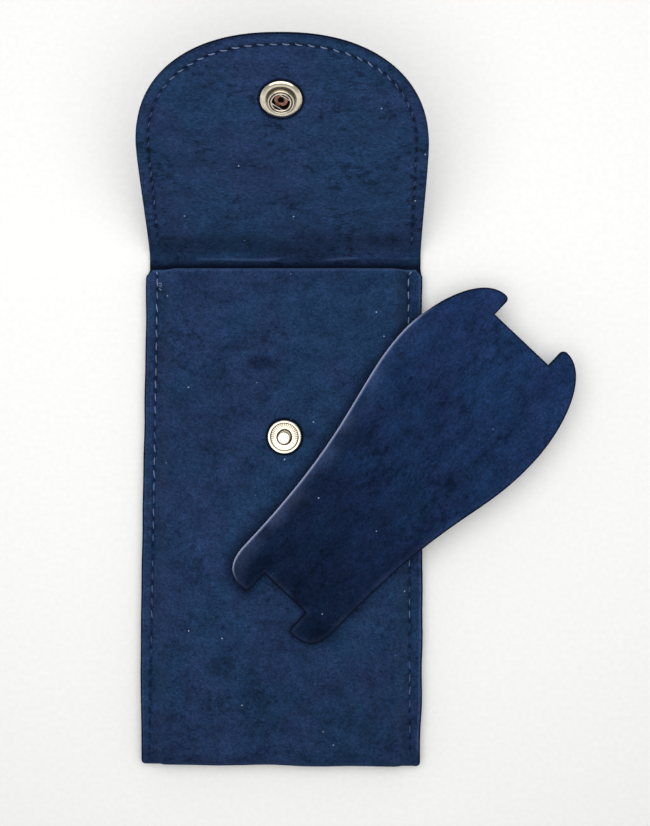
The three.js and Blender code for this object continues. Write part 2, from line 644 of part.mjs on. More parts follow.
// Stud on the front wall, and the eyelet whose barrel comes through the wall and holds it
function studHalf() {
  const bore = EYELET_BARREL_RADIUS + METAL_CLEARANCE;
  const neckTop = KNOB_HEIGHT - KNOB_HEAD;
  const barrelTop = neckTop - METAL_CLEARANCE;
  const stud = turned("snap_stud", [
    [0, neckTop],
    [bore, neckTop],
    [bore, METAL_SEAT],
    [STUD_RADIUS - METAL_EDGE, METAL_SEAT],
    [STUD_RADIUS, METAL_SEAT + METAL_EDGE],
    [STUD_RADIUS, STUD_RIM_HEIGHT - METAL_SHEET],
    [STUD_RADIUS - METAL_EDGE, STUD_RIM_HEIGHT - METAL_EDGE],
    [STUD_RADIUS - METAL_SHEET, STUD_RIM_HEIGHT],
    [STUD_TRAY_RADIUS + METAL_EDGE, STUD_RIM_HEIGHT],
    [STUD_TRAY_RADIUS, STUD_TRAY_HEIGHT],
    [KNOB_RADIUS + 2 * METAL_SHEET, STUD_TRAY_HEIGHT],
    [KNOB_RADIUS + METAL_SHEET, STUD_TRAY_HEIGHT + METAL_EDGE],
    [NECK_RADIUS, STUD_TRAY_HEIGHT + METAL_EDGE],
    [NECK_RADIUS, neckTop],
    [KNOB_RADIUS - METAL_EDGE, neckTop + METAL_EDGE],
    [KNOB_RADIUS, neckTop + 2 * METAL_EDGE],
    [KNOB_RADIUS - METAL_EDGE, KNOB_HEIGHT - METAL_EDGE / 2],
    [KNOB_RADIUS - METAL_SHEET, KNOB_HEIGHT],
    [0, KNOB_HEIGHT],
  ], paleNickel);
  const under = -WALL - METAL_SEAT;
  const eyelet = turned("snap_eyelet", [
    [0, under - EYELET_FLANGE],
    [EYELET_FLANGE_RADIUS - METAL_EDGE, under - EYELET_FLANGE],
    [EYELET_FLANGE_RADIUS, under - EYELET_FLANGE / 2],
    [EYELET_FLANGE_RADIUS - METAL_EDGE, under],
    [EYELET_BARREL_RADIUS, under],
    [EYELET_BARREL_RADIUS, barrelTop],
    [0, barrelTop],
  ], copperedBrass);
  stud.position.set(0, STUD_Y, FRONT_Z);
  eyelet.position.set(0, STUD_Y, FRONT_Z);
  return [stud, eyelet];
}

// The insert's outline about its long axis, the narrow notch's floor at zero: lobes beside the narrow
// notch, sides that widen, and horns beside the wide notch. The wide end is cut a little to one side.
function insertOutline() {
  const narrow = INSERT_NARROW_WIDTH / 2;
  const wide = INSERT_WIDE_WIDTH / 2;
  const notch = NARROW_NOTCH_WIDTH / 2;
  const bigNotch = WIDE_NOTCH_WIDTH / 2;
  const lobe = -NARROW_NOTCH_DEPTH;
  const horn = INSERT_LENGTH + WIDE_NOTCH_DEPTH;
  const widest = INSERT_WIDEST_AT;
  const v = (x, y) => new THREE.Vector2(x, y);
  const waist = v(LOBE_ROUND - NARROW_NOTCH_DEPTH, narrow);
  const lobeTip = v(lobe, notch + HORN_TIP);
  const hornTip = v(horn, bigNotch + HORN_TIP);
  const hip = v(widest, wide);
  const lobeCurve = new THREE.CubicBezierCurve(
    lobeTip, v(lobe, (notch + narrow * 2) / 3 + HORN_TIP), v((lobe * 2 + waist.x) / 3, narrow), waist);
  const sideCurve = new THREE.CubicBezierCurve(
    waist, v(waist.x + WAIST_REACH, narrow), v(widest - HIP_REACH, wide), hip);
  const hornCurve = new THREE.CubicBezierCurve(
    hip, v(widest + HORN_REACH, wide), v(horn, (wide * 2 + bigNotch) / 3), hornTip);
  const curves = [
    ...lobeCurve.getPoints(LOBE_STEPS),
    ...sideCurve.getPoints(SIDE_STEPS).slice(1),
    ...hornCurve.getPoints(HORN_STEPS).slice(1),
  ];
  const sway = (x) => INSERT_SWAY * smoothstep((x - widest + HIP_REACH) / SWAY_LENGTH);
  const sided = (side) => [
    v(0, side * notch),
    v(lobe + HORN_TIP / 2, side * (notch + HORN_TIP / 2)),
    ...curves.map((p) => v(p.x, side * p.y + sway(p.x))),
    v(horn - HORN_TIP / 2, side * (bigNotch + HORN_TIP / 2)),
    v(INSERT_LENGTH, side * bigNotch),
  ];
  return [...sided(1), ...sided(-1).reverse()];
}

function insertGroup() {
  const group = new THREE.Group();
  const shape = new THREE.Shape(insertOutline());
  const layer = (name, low, thickness, finish) => {
    const sheet = new THREE.ExtrudeGeometry(shape, { depth: thickness, bevelEnabled: false });
    sheet.translate(0, 0, low);
    group.add(meshOf(name, sheet, finish));
    return low + thickness + INSERT_SHEET_GAP;
  };
  const coreLow = layer("insert_back_face", 0, INSERT_FACE, darkSuede);
  const frontLow = layer("insert_core", coreLow, INSERT_CORE, boardGrey);
  layer("insert_front_face", frontLow, INSERT_FACE, darkSuede);
  group.position.set(INSERT_X, INSERT_Y, FRONT_Z + INSERT_SEAT);
  group.rotation.z = INSERT_TURN * DEGREE;
  return group;
}

const pouch = new THREE.Group();
pouch.add(pouchOuter());
pouch.add(pouchLining());
pouch.add(foldStrip("fold_lining", FOLD_RADIUS, FOLD_RADIUS + LINING_SUEDE, navySuede));
pouch.add(foldStrip("fold_outer", FOLD_RADIUS + WALL - OUTER_SUEDE, FOLD_RADIUS + WALL, navySuede));
for (const [side, seam] of Object.entries(seams)) {
  const needle = threadAlong(seam.pathAt, seam.length, BODY_STITCH, UP, FLANGE_Z, NEEDLE_CREST, OUTER_GROOVE);
  const bobbin = threadAlong(seam.pathAt, seam.length, BODY_STITCH, DOWN, 0, BOBBIN_CREST, OUTER_GROOVE);
  pouch.add(meshOf(`${side}_needle_thread`, needle, blueThread));
  pouch.add(meshOf(`${side}_bobbin_thread`, bobbin, blueThread));
}
pouch.add(...studHalf());
pouch.add(flapGroup());
pouch.add(insertGroup());

export default pouch;
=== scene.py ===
"""Looks of a suede watch pouch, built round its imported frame: sewn suede sheets, stitches, a press fastener and a stiff
watch insert. Lengths inside the functions are millimetres in the frame's own axes; meshes are in metres."""

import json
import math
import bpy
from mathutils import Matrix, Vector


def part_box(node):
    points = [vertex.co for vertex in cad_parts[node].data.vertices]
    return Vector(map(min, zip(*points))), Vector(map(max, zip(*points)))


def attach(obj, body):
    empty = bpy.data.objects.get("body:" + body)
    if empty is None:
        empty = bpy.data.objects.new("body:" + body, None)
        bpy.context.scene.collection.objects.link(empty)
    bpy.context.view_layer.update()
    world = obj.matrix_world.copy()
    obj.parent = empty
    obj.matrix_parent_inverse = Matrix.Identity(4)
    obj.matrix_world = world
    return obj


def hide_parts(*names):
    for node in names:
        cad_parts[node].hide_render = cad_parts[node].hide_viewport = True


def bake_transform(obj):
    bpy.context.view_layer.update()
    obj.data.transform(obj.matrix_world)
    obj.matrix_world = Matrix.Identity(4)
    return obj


bl_info = {
    "name": "Suede watch pouch",
    "version": (1, 0, 0),
    "blender": (4, 5, 0),
    "location": "View3D > Sidebar > Pouch",
    "description": "Builds the suede, stitches, fastener and insert of a watch pouch round its frame",
    "category": "Add Mesh",
}

import bmesh
import bpy
import numpy as np

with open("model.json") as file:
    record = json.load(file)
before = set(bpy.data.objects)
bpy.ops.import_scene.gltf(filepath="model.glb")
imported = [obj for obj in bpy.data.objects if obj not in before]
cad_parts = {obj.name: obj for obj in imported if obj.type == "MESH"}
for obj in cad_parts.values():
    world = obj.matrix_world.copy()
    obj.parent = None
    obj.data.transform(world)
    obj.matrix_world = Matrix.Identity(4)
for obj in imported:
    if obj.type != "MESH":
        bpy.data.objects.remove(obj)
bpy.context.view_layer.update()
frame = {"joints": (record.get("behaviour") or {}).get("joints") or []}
MM = 0.001


def box_mm(node):
    """Lowest and highest corner of a frame node, in millimetres."""
    low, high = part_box(node)
    return np.array(low) / MM, np.array(high) / MM


# Places read from the frame
BODY_LOW, BODY_HIGH = box_mm("pouch_outer")
STUD_LOW, STUD_HIGH = box_mm("snap_stud")
FLAP_JOINT = next(joint for joint in frame["joints"] if joint["name"] == "flap_fold")
HINGE_Y, HINGE_Z = (value / MM for value in FLAP_JOINT["pos_m"][1:])
FLAP_RAISED = math.radians(-FLAP_JOINT["range_deg"][0])
BOTTOM_Y = BODY_LOW[1]
MOUTH_Y = -BODY_LOW[1]
FRONT_Z = BODY_HIGH[2]
STUD_Y = (STUD_LOW[1] + STUD_HIGH[1]) / 2
SOCKET_ALONG = HINGE_Y - STUD_Y

# Body of the pouch
MOUTH_WIDTH = 80.2
BODY_FLARE = 1.7
WIDEST_ABOVE_BOTTOM = 28
BOTTOM_DRAW_IN = 1.0
BOTTOM_SLANT = 0.8
BOTTOM_SAG = 0.65
BODY_LEAN = 1.25
MOUTH_LEAN = 0.26
BOTTOM_CORNER_RADIUS = 1.3
MOUTH_CORNER_CUT = 1.5
LINING_PROUD = 0.4
FLANGE_Z = 3.4
BOTTOM_Z = 5.4
TAPER_LENGTH = 18
TAPER_END = 5
SEAM_FLANGE = 4.0
SHOULDER_TOP = 2.4
SHOULDER_FOOT = 0.8
SHOULDER_STEEPEST = math.radians(50)
WALL = 1.6
WALL_WAVE = 0.05
BOTTOM_WAVE = 0.16
HAND_CUT = 0.07

# Flap
FLAP_LENGTH = 70.0
FLAP_WIDTH = 79.9
FLAP_FOLD_WIDTH = 79.0
FLAP_ROUND_LENGTH = 37
FLAP_ROUNDNESS = 2.27
FOLD_RADIUS = HINGE_Z - WALL
FOLD_LENGTH = FLAP_RAISED * (FOLD_RADIUS + WALL / 2)
FLAP_FILL = 0.89
FLAP_WAVE = 0.09
CREASE_ALONG = 2.2
CREASE_WIDTH = 1.1
CREASE_DEPTH = 0.1

# Seams; each of the knot's loops has a place beside and above the second hole, a radius and a turn
LEFT_SEAM_INSETS = (3.3, 2.3)
RIGHT_SEAM_INSETS = (4.0, 3.0)
FLAP_SEAM_INSET = 3.4
FLAP_SEAM_INSET_AT_FOLD = 2.9
FLAP_SEAM_INSET_AT_TIP = 2.8
SEAM_START = 1.5
SEAM_END = 4.5
NEEDLE_DENT_REACH = 0.42
BODY_DENT_WIDTH = 0.44
FLAP_DENT_WIDTH = 0.46
STITCH_DIVE = 0.4
STITCH_SHOWN = 0.66
THREAD_SIDES = 6
THREAD_FLATNESS = 0.75
PLY_RELIEF = 0.14
KNOT_LOOPS = ((0.8, -2.5, 0.45, 0.4), (1.0, -3.7, 0.38, -1.1))

# Press fastener
SOCKET_RADIUS = 5.6
STUD_RADIUS = 4.8
STUD_LEAN = (-0.22, -0.48)
RIBS_FROM = 2.75
RIBS_TO = 3.95
CAP_RADIUS = 6.2
RIVET_RADIUS = 2.2
WIRE_BEND = 2.72
WIRE_RADIUS = 0.19
WIRE_LEVEL = 1.39
WIRE_GAP = 3.5
WIRE_TURN = math.radians(-35)

# Dark marks in the nap, each a middle and half its width and height, the flap's one painted shade; then the reach of
# the painted shade ring round each fastener disc
FRONT_WORN = (-24, 26, 20, 20)
FRONT_STAIN = (-6.7, 44.7, 3.9, 2.1)
# FLAP_SHADE_PATCH is a patch of painted shade on the flap's lining near its fold.
FLAP_SHADE_PATCH = (7, 5, 10, 4)
SHADE_RING_REACH = (0.45, 1.0)

# Insert, about its own long axis from the narrow notch's floor
INSERT_PLACE = np.array([0.1, -21.2])
INSERT_TURN = math.radians(46.6)
INSERT_LENGTH = 99.2
INSERT_NARROW_WIDTH = 35.5
INSERT_WIDE_WIDTH = 52.8
INSERT_WIDEST_AT = 77
INSERT_SWAY = 0.6
SWAY_LENGTH = 27
NARROW_NOTCH_WIDTH = 16
NARROW_NOTCH_DEPTH = 7.2
WIDE_NOTCH_WIDTH = 21.2
WIDE_NOTCH_DEPTH = 6.2
HORN_TIP = 1.4
LOBE_ROUND = 9.7
WAIST_REACH = 45
HIP_REACH = 21
HORN_REACH = 12
INSERT_Z = box_mm("insert_back_face")[0][2]

# How finely the sheets are cut into cells
RIM_STEPS = np.array([0, 0.08, 0.2, 0.35, 0.6, 0.9])
FRONT_ROW = 0.55
BACK_ROW = 1.1
MIDDLE_COLUMNS = 58
FLAP_SEAM_STEPS = np.arange(1.2, 6.5, 0.32)
FLAP_STEP = 0.6
FLAP_ROWS = 125
BEND_ROWS = 15

# Layers of suede, each with its own place in the nap's pattern
OUTER_LAYER = 7.0
LINING_LAYER = 31.0
INSERT_LAYERS = (61.0, 67.0, 73.0)
LINT_SPACING = 6.5

# Colours that are no one piece's own, as sRGB hex
# DARK_DYE_AND_SHADE is what the suede's dark mark blends to: dye on cut edges, stains and matted nap, and painted shade
# in holes, round the fold, at the mouth, round the fastener and beside the insert
DARK_DYE_AND_SHADE = "040917"
# BOARD_EDGE_SHADE is the painted shade laid over the board's pale edge.
BOARD_EDGE_SHADE = "0d1526"
DUST = "a9b8d6"

# Stage, in metres; the camera's lens and sensor are millimetres, and the sky's heights and levels are shares
SKY_HEIGHTS = (0.2, 0.5)
SKY_LEVELS = (1.7, 0.68)
FLOOR_REACH = 1.5
LAMP_PLACE = (0.0, 0.1, 0.34)
LAMP_SIZE = 0.52
CAMERA_PLACE = (0.0116, 0.03035, 0.4)
CAMERA_LENS = 59.5
CAMERA_SENSOR = 36


def linear(code):
    """An sRGB hex value as a linear colour."""
    channels = np.array([int(code[i:i + 2], 16) for i in (0, 2, 4)]) / 255
    bright = ((channels + 0.055) / 1.055) ** 2.4
    return tuple(float(v) for v in np.where(channels <= 0.04045, channels / 12.92, bright))


def length_property(name, description, size):
    """A length of the sidebar, given in millimetres."""
    return bpy.props.FloatProperty(
        name=name, description=description, default=size * MM, min=0, subtype="DISTANCE", unit="LENGTH", precision=5)


def colour_property(name, description, code):
    """A colour of the sidebar, given as sRGB hex."""
    return bpy.props.FloatVectorProperty(
        name=name, description=description, default=linear(code), size=3, min=0, max=1, subtype="COLOR")


class PouchSuede(bpy.types.PropertyGroup):
    """The suede sheets"""
    outer_thickness: length_property("Outer suede", "Thickness of the outer sheet", 0.8)
    lining_thickness: length_property("Lining", "Thickness of the lining", 0.6)
    edge_round: length_property("Edge round", "Rounding of the cut edges", 0.22)
    mottle: length_property("Mottling", "Size of the clouds where the nap lies differently", 5.5)
    grain: length_property("Nap grain", "Size of the nap's speckle, coarser than the real fibre so that it shows", 0.6)
    teal: colour_property("Navy, brushed up", "Nap brushed towards the flap", "1d3453")
    violet: colour_property("Navy, brushed down", "Nap brushed towards the fold", "213253")
    # pale is blended in for raised nap and for painted highlights along some edges.
    pale: colour_property("Raised nap", "Nap that stands up beside an edge", "55648a")
    insert_teal: colour_property("Insert, brushed up", "Nap of the insert, brushed up", "172d4f")
    insert_violet: colour_property("Insert, brushed down", "Nap of the insert, brushed down", "1a2a4d")
    # insert_pale is blended in for raised nap and for the painted highlight on the insert's upper-left edge.
    insert_pale: colour_property("Insert's edge", "Raised nap and scuffs at the insert's edge", "9ba6ca")


class PouchStitches(bpy.types.PropertyGroup):
    """The sewing"""
    body_stitch: length_property("Side stitch", "Stitch length of the side seams", 3.7)
    flap_stitch: length_property("Flap stitch", "Stitch length of the flap's seam", 3.25)
    thread_width: length_property("Thread", "Width of the thread", 0.36)
    hole_depth: length_property("Needle hole", "Depth of the dent at each needle hole", 0.38)
    thread: colour_property("Thread", "Polyester thread that lies open", "7486a6")
    # sunk_thread is the dark given to stitches deep in the nap: partly the nap over them, partly painted shade.
    sunk_thread: colour_property("Sunk thread", "Thread under the nap", "25335a")


class PouchFastener(bpy.types.PropertyGroup):
    """The press fastener"""
    ribs: bpy.props.IntProperty(name="Ribs", description="Fine ribs round the stud", default=40, min=0, max=80)
    rib_depth: length_property("Rib depth", "Depth of the ribs round the stud", 0.07)
    nickel: colour_property("Pale nickel", "Plating of the stud, socket and cap", "e8dec8")
    copper: colour_property("Coppery brass", "Rivet and eyelet", "9c7263")
    steel: colour_property("Spring steel", "Wire spring in the socket", "d2cdc4")
    # The colour of the dark recesses: oxide and dust, and painted shade in the hollows and gaps.
    dirt_and_shade: colour_property("Recesses", "Oxide and dust in the recesses", "17110f")


class PouchInsert(bpy.types.PropertyGroup):
    """The watch insert"""
    face: length_property("Face", "Thickness of each suede face", 0.55)
    board: length_property("Board", "Thickness of the core board", 0.8)
    offset: length_property("Offset", "How far the faces are glued off the board's edge", 0.05)
    core: colour_property("Board", "Cut edge of the board", "b3b5c8")


class PouchStage(bpy.types.PropertyGroup):
    """Floor and light"""
    table: colour_property("Table", "Pale table top", "f5f5f3")
    lamp: bpy.props.FloatProperty(name="Lamp", description="Power of the lamp overhead", default=1.2, unit="POWER")
    sky: bpy.props.FloatProperty(name="Sky", description="Strength of the light all round", default=0.58, min=0)


def smoothstep(t):
    """0 below 0, 1 above 1, and 3t^2 - 2t^3 between."""
    t = np.clip(t, 0, 1)
    return t * t * (3 - 2 * t)


def hump(distance, width):
    """1 at no distance, falling off as a bell curve."""
    return np.exp(-(distance / width) ** 2)


def ripple(x, y, size, seed, waves=7):
    """Smooth random waves of about that size, from about -1 to 1: sines in random directions, added up."""
    rng = np.random.default_rng(seed)
    total = 0
    for _ in range(waves):
        turn, phase = rng.uniform(0, 2 * np.pi, 2)
        pitch = size * rng.uniform(0.7, 1.6)
        total = total + np.sin(2 * np.pi * (x * np.cos(turn) + y * np.sin(turn)) / pitch + phase)
    return total / waves ** 0.5


def unit(vectors):
    """Vectors at length one."""
    return vectors / np.linalg.norm(vectors, axis=-1, keepdims=True)


def turned_by(angle):
    """The matrix that turns rows of 2-D points to the left by an angle."""
    c, s = math.cos(angle), math.sin(angle)
    return np.array([[c, s], [-s, c]])


def left_of(directions):
    """2-D directions turned a quarter to the left."""
    return np.stack([-directions[..., 1], directions[..., 0]], -1)


def nearest_on_line(points, line):
    """Distance of each 2-D point to a line of straight pieces, by its nearest foot on any of them, and the unit
    normal to the left of that piece."""
    flat = points.reshape(-1, 2)
    nearest = np.full(len(flat), np.inf)
    normal = np.zeros_like(flat)
    for start, step in zip(line[:-1], np.diff(line, axis=0)):
        foot = np.clip(((flat - start) @ step) / (step @ step), 0, 1)
        gap = np.linalg.norm(flat - start - foot[:, None] * step, axis=1)
        closer = gap < nearest
        nearest[closer] = gap[closer]
        normal[closer] = left_of(unit(step))
    return nearest.reshape(points.shape[:-1]), normal.reshape(points.shape)


def distance_to_points(points, targets):
    """Distance of each 2-D point to the nearest target."""
    nearest = np.full(points.shape[:-1], np.inf)
    for target in targets:
        nearest = np.minimum(nearest, np.linalg.norm(points - target, axis=-1))
    return nearest


def off_mark(x, y, mark):
    """Distance from a mark's middle as a share of half its width and height."""
    middle_x, middle_y, half_width, half_height = mark
    return np.hypot((x - middle_x) / half_width, (y - middle_y) / half_height)


def rim_drop(edge, radius):
    """How far a face falls away near its cut edge: a quarter circle over the distance from the edge."""
    inside = np.clip(radius - edge, 0, radius)
    return radius - np.sqrt(radius ** 2 - inside ** 2)


def cut_shade(edge):
    """Darkness at a cut edge over the distance from it: the edge's dark dye, with painted shade along the edge."""
    return 0.95 * smoothstep((0.5 - edge) / 0.22)


def normals(grid):
    """Unit normals of a grid: the row direction crossed with the column direction."""
    return unit(np.cross(np.gradient(grid, axis=0), np.gradient(grid, axis=1)))


def new_object(name, places, quads, material, marks=None, merge=False, sharp=50):
    """A mesh object from places in millimetres and quads, smooth except over edges sharper than that many degrees.
    marks are numbers, or 3-D points, for each vertex, kept as attributes."""
    mesh = bpy.data.meshes.new(name)
    mesh.vertices.add(len(places))
    mesh.vertices.foreach_set("co", (places * MM).astype(np.float32).ravel())
    mesh.loops.add(quads.size)
    mesh.loops.foreach_set("vertex_index", quads.astype(np.int32).ravel())
    mesh.polygons.add(len(quads))
    mesh.polygons.foreach_set("loop_start", np.arange(0, quads.size, 4, dtype=np.int32))
    mesh.update(calc_edges=True)
    for mark, values in (marks or {}).items():
        kind, field = ("FLOAT_VECTOR", "vector") if values.ndim == 2 else ("FLOAT", "value")
        mesh.attributes.new(mark, kind, "POINT").data.foreach_set(field, values.astype(np.float32).ravel())
    if merge:
        shape = bmesh.new()
        shape.from_mesh(mesh)
        bmesh.ops.remove_doubles(shape, verts=shape.verts, dist=1e-7)
        shape.to_mesh(mesh)
        shape.free()
    mesh.shade_smooth()
    mesh.set_sharp_from_angle(angle=math.radians(sharp))
    mesh.materials.append(material)
    return linked(name, mesh)


def linked(name, data):
    """An object in the scene at the origin, with its mesh, lamp or camera."""
    made = bpy.data.objects.new(name, data)
    bpy.context.scene.collection.objects.link(made)
    return made


def dress(piece, body, slot, *nodes):
    """Lets a piece ride on a body and stand for frame nodes. slot is not used."""
    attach(piece, body)
    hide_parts(*nodes)


def tube(rings, sides):
    """Quads between neighbouring rings of points along a tube."""
    k = np.arange(sides)
    r = np.arange(rings - 1)[:, None] * sides
    after = (k + 1) % sides
    return np.stack([r + k, r + after, r + sides + after, r + sides + k], -1).reshape(-1, 4)


def swept(lines, levels, thick, flatness, ring, place):
    """Points and quads of a ring of angles carried along each 2-D line, with flat ends. thick is its half width,
    flatness times that its half height, and place(x, along, height) puts it on its sheet."""
    count, steps = levels.shape
    sides = len(ring)
    side = left_of(unit(np.gradient(lines, axis=1)))
    flat = lines[:, :, None] + side[:, :, None] * (thick * np.cos(ring))[..., None]
    places = place(flat[..., 0], flat[..., 1], levels[..., None] + flatness * thick * np.sin(ring)).reshape(-1, 3)
    fan = np.arange(1, sides - 1, 2)
    cap = np.stack([0 * fan, fan + 2, fan + 1, fan], -1)
    quads = np.concatenate([tube(steps, sides), cap, (steps - 1) * sides + cap[:, ::-1]])
    first = np.arange(count)[:, None, None] * steps * sides
    return places, (quads + first).reshape(-1, 4)


def sheet_object(name, face, back, material, marks, keep=None):
    """A closed sheet between two grids of points, with walls round the cells that keep says exist.
    Row direction crossed with column direction points from back to face. marks hold a value for each grid point,
    given to both faces."""
    rows, columns = face.shape[:2]
    keep = np.ones((rows - 1, columns - 1), bool) if keep is None else keep
    count = rows * columns
    at = np.arange(count).reshape(rows, columns)
    a, b, c, d = at[:-1, :-1], at[:-1, 1:], at[1:, 1:], at[1:, :-1]
    faces = [np.stack([a, d, c, b], -1)[keep], np.stack([a, b, c, d], -1)[keep] + count]
    ring = np.pad(keep, 1)
    beside = {"left": ring[1:-1, :-2], "next": ring[2:, 1:-1], "right": ring[1:-1, 2:], "before": ring[:-2, 1:-1]}
    for side, start, end in (("left", a, d), ("next", d, c), ("right", c, b), ("before", b, a)):
        border = keep & ~beside[side]
        p, q = start[border], end[border]
        faces.append(np.stack([q, p, p + count, q + count], -1))
    used, quads = np.unique(np.concatenate(faces), return_inverse=True)
    places = np.concatenate([face.reshape(-1, 3), back.reshape(-1, 3)])[used]
    both = {
        mark: np.tile(values.reshape(count, -1), (2, 1))[used].squeeze() for mark, values in marks.items()}
    return new_object(name, places, quads.reshape(-1, 4), material, both, merge=True)


# Body


def body_half_width(y):
    """Half the width at a height: it flares from the mouth, is drawn in again and has a round corner at the fold."""
    widest = BOTTOM_Y + WIDEST_ABOVE_BOTTOM
    flare = BODY_FLARE / 2 * smoothstep((MOUTH_Y - y) / (MOUTH_Y - widest))
    draw_in = BOTTOM_DRAW_IN / 2 * smoothstep((widest - y) / WIDEST_ABOVE_BOTTOM)
    above = np.clip(BOTTOM_CORNER_RADIUS - (y - BOTTOM_Y), 0, BOTTOM_CORNER_RADIUS)
    corner = BOTTOM_CORNER_RADIUS - np.sqrt(BOTTOM_CORNER_RADIUS ** 2 - above ** 2)
    return MOUTH_WIDTH / 2 + flare - draw_in - corner


def body_centre(y):
    """The body leans a little to the left on its way down."""
    return -MOUTH_LEAN - (BODY_LEAN - MOUTH_LEAN) * (MOUTH_Y - y) / (MOUTH_Y - BOTTOM_Y)


def shoulder(rise):
    """One side of the front wall's section for each rise of its middle: flat seam flange, arc, slope, arc.
    Gives the inset from the edge and the height over the flange."""
    rise = np.atleast_1d(rise)[:, None]
    radii = SHOULDER_FOOT + SHOULDER_TOP
    least_slope = 0.25
    steep = np.minimum(SHOULDER_STEEPEST, np.arccos(np.clip(1 - (rise - least_slope) / radii, -1, 1)))
    straight = (rise - radii * (1 - np.cos(steep))) / np.sin(steep)
    top = SEAM_FLANGE + radii * np.sin(steep) + straight * np.cos(steep)
    flat = np.concatenate([RIM_STEPS, np.linspace(1.2, SEAM_FLANGE, 10)]) + 0 * rise
    foot = steep * np.linspace(1 / 3, 1, 3)
    slope = straight * np.linspace(1 / 3, 2 / 3, 2)
    crown = steep * np.linspace(1, 0, 7)
    inset = np.hstack([
        flat,
        SEAM_FLANGE + SHOULDER_FOOT * np.sin(foot),
        SEAM_FLANGE + SHOULDER_FOOT * np.sin(steep) + slope * np.cos(steep),
        top - SHOULDER_TOP * np.sin(crown)])
    height = np.hstack([
        0 * flat,
        SHOULDER_FOOT * (1 - np.cos(foot)),
        SHOULDER_FOOT * (1 - np.cos(steep)) + slope * np.sin(steep),
        rise - SHOULDER_TOP * (1 - np.cos(crown))])
    return inset, height


def side_seam(side, insets):
    """A side seam as the two ends of a straight line, with its inset from the edge at the mouth and at the bottom."""
    ends = np.array([MOUTH_Y - SEAM_START, BOTTOM_Y + SEAM_END])
    return np.stack([body_centre(ends) + side * (body_half_width(ends) - insets), ends], -1)


def needle_holes(line, pitch):
    """Evenly spaced needle holes along a line of straight pieces, about a stitch apart."""
    steps = np.linalg.norm(np.diff(line, axis=0), axis=1)
    along = np.concatenate([[0], np.cumsum(steps)])
    places = np.linspace(0, along[-1], round(along[-1] / pitch) + 1)
    return np.stack([np.interp(places, along, line[:, i]) for i in (0, 1)], -1)


def spread(side_values):
    """Values of one side's columns, given to the left side, the middle and, mirrored, the right side."""
    middle = np.repeat(side_values[:, -1:], MIDDLE_COLUMNS, 1)
    return np.hstack([side_values, middle, side_values[:, ::-1]])


def body_outside(past_mouth):
    """The outer face of the body's strip as a grid: from the front wall's mouth down, round the bottom fold, where
    each column turns on half its own height, and up the back to the hinge. Gives the points, each point's inset from
    the strip's sides, the length along the strip for each row, and how many rows lie on the front."""
    taper_end = BOTTOM_Y + TAPER_END
    front_y = np.concatenate([
        MOUTH_Y + past_mouth - RIM_STEPS, np.arange(MOUTH_Y - 1.2, taper_end + 0.1, -FRONT_ROW), [taper_end]])
    down = (taper_end + TAPER_LENGTH - front_y) / TAPER_LENGTH
    middle = FRONT_Z + (BOTTOM_Z - FRONT_Z) * smoothstep(down)
    front_in, front_up = (spread(v) for v in shoulder(middle - FLANGE_Z))
    fold_in, fold_up = (spread(v) for v in shoulder(BOTTOM_Z - FLANGE_Z))
    radius = (FLANGE_Z + fold_up) / 2
    ease = np.array([0.3, 0.6, 0.85])[:, None]
    turn = np.linspace(0, np.pi, 21)[:, None]
    back_y = np.arange(taper_end, HINGE_Y - BACK_ROW / 2, BACK_ROW)
    back_y = np.concatenate([back_y, [HINGE_Y]])[:, None] + 0 * radius
    y = np.vstack([
        front_y[:, None] + 0 * front_in,
        taper_end + (BOTTOM_Y + radius - taper_end) * ease,
        BOTTOM_Y + radius - radius * np.sin(turn),
        BOTTOM_Y + radius + (taper_end - BOTTOM_Y - radius) * (1 - ease[::-1]),
        back_y])
    z = np.vstack([
        FLANGE_Z + front_up,
        2 * radius + 0 * ease,
        radius + radius * np.cos(turn),
        0 * radius + 0 * ease,
        0 * back_y])
    inset = np.vstack([front_in, np.repeat(fold_in, len(y) - len(front_y), 0)])
    on_front = np.arange(len(y))[:, None] < len(front_y)
    cut = np.where(on_front, np.clip(MOUTH_CORNER_CUT - (MOUTH_Y - y), 0, MOUTH_CORNER_CUT), 0)
    trimmed = np.where(inset < SEAM_FLANGE, cut + inset * (1 - cut / SEAM_FLANGE), inset)
    past = ~on_front * np.clip((y - MOUTH_Y + MOUTH_CORNER_CUT) / (MOUTH_CORNER_CUT + 0.3), 0, 1)
    half = body_half_width(np.minimum(y, MOUTH_Y)) * (1 - past) + FLAP_FOLD_WIDTH / 2 * past
    flank = (y.shape[1] - MIDDLE_COLUMNS) // 2
    side = np.concatenate([-np.ones(flank), np.linspace(-1, 1, MIDDLE_COLUMNS + 2)[1:-1], np.ones(flank)])
    hand_cut = HAND_CUT * ripple(y, 40 * np.sign(side), 13, 2) * np.abs(side) * (1 - past)
    x = body_centre(y) * (1 - past) + side * (half - trimmed + hand_cut)
    low = smoothstep((BOTTOM_Y + WIDEST_ABOVE_BOTTOM - y) / WIDEST_ABOVE_BOTTOM)
    sag = BOTTOM_SAG + BOTTOM_SLANT / MOUTH_WIDTH * x + BOTTOM_WAVE * ripple(x, 0 * x, 34, 9) * low
    centre = np.stack([y, z], -1)[:, y.shape[1] // 2]
    strip = np.concatenate([[0], np.cumsum(np.linalg.norm(np.diff(centre, axis=0), axis=1))])
    return np.stack([x, y - low * sag, z], -1), inset, strip, len(front_y)


def strip_length(past_mouth):
    """Length of a sheet of the body from its mouth to the hinge."""
    return body_outside(past_mouth)[2][-1]


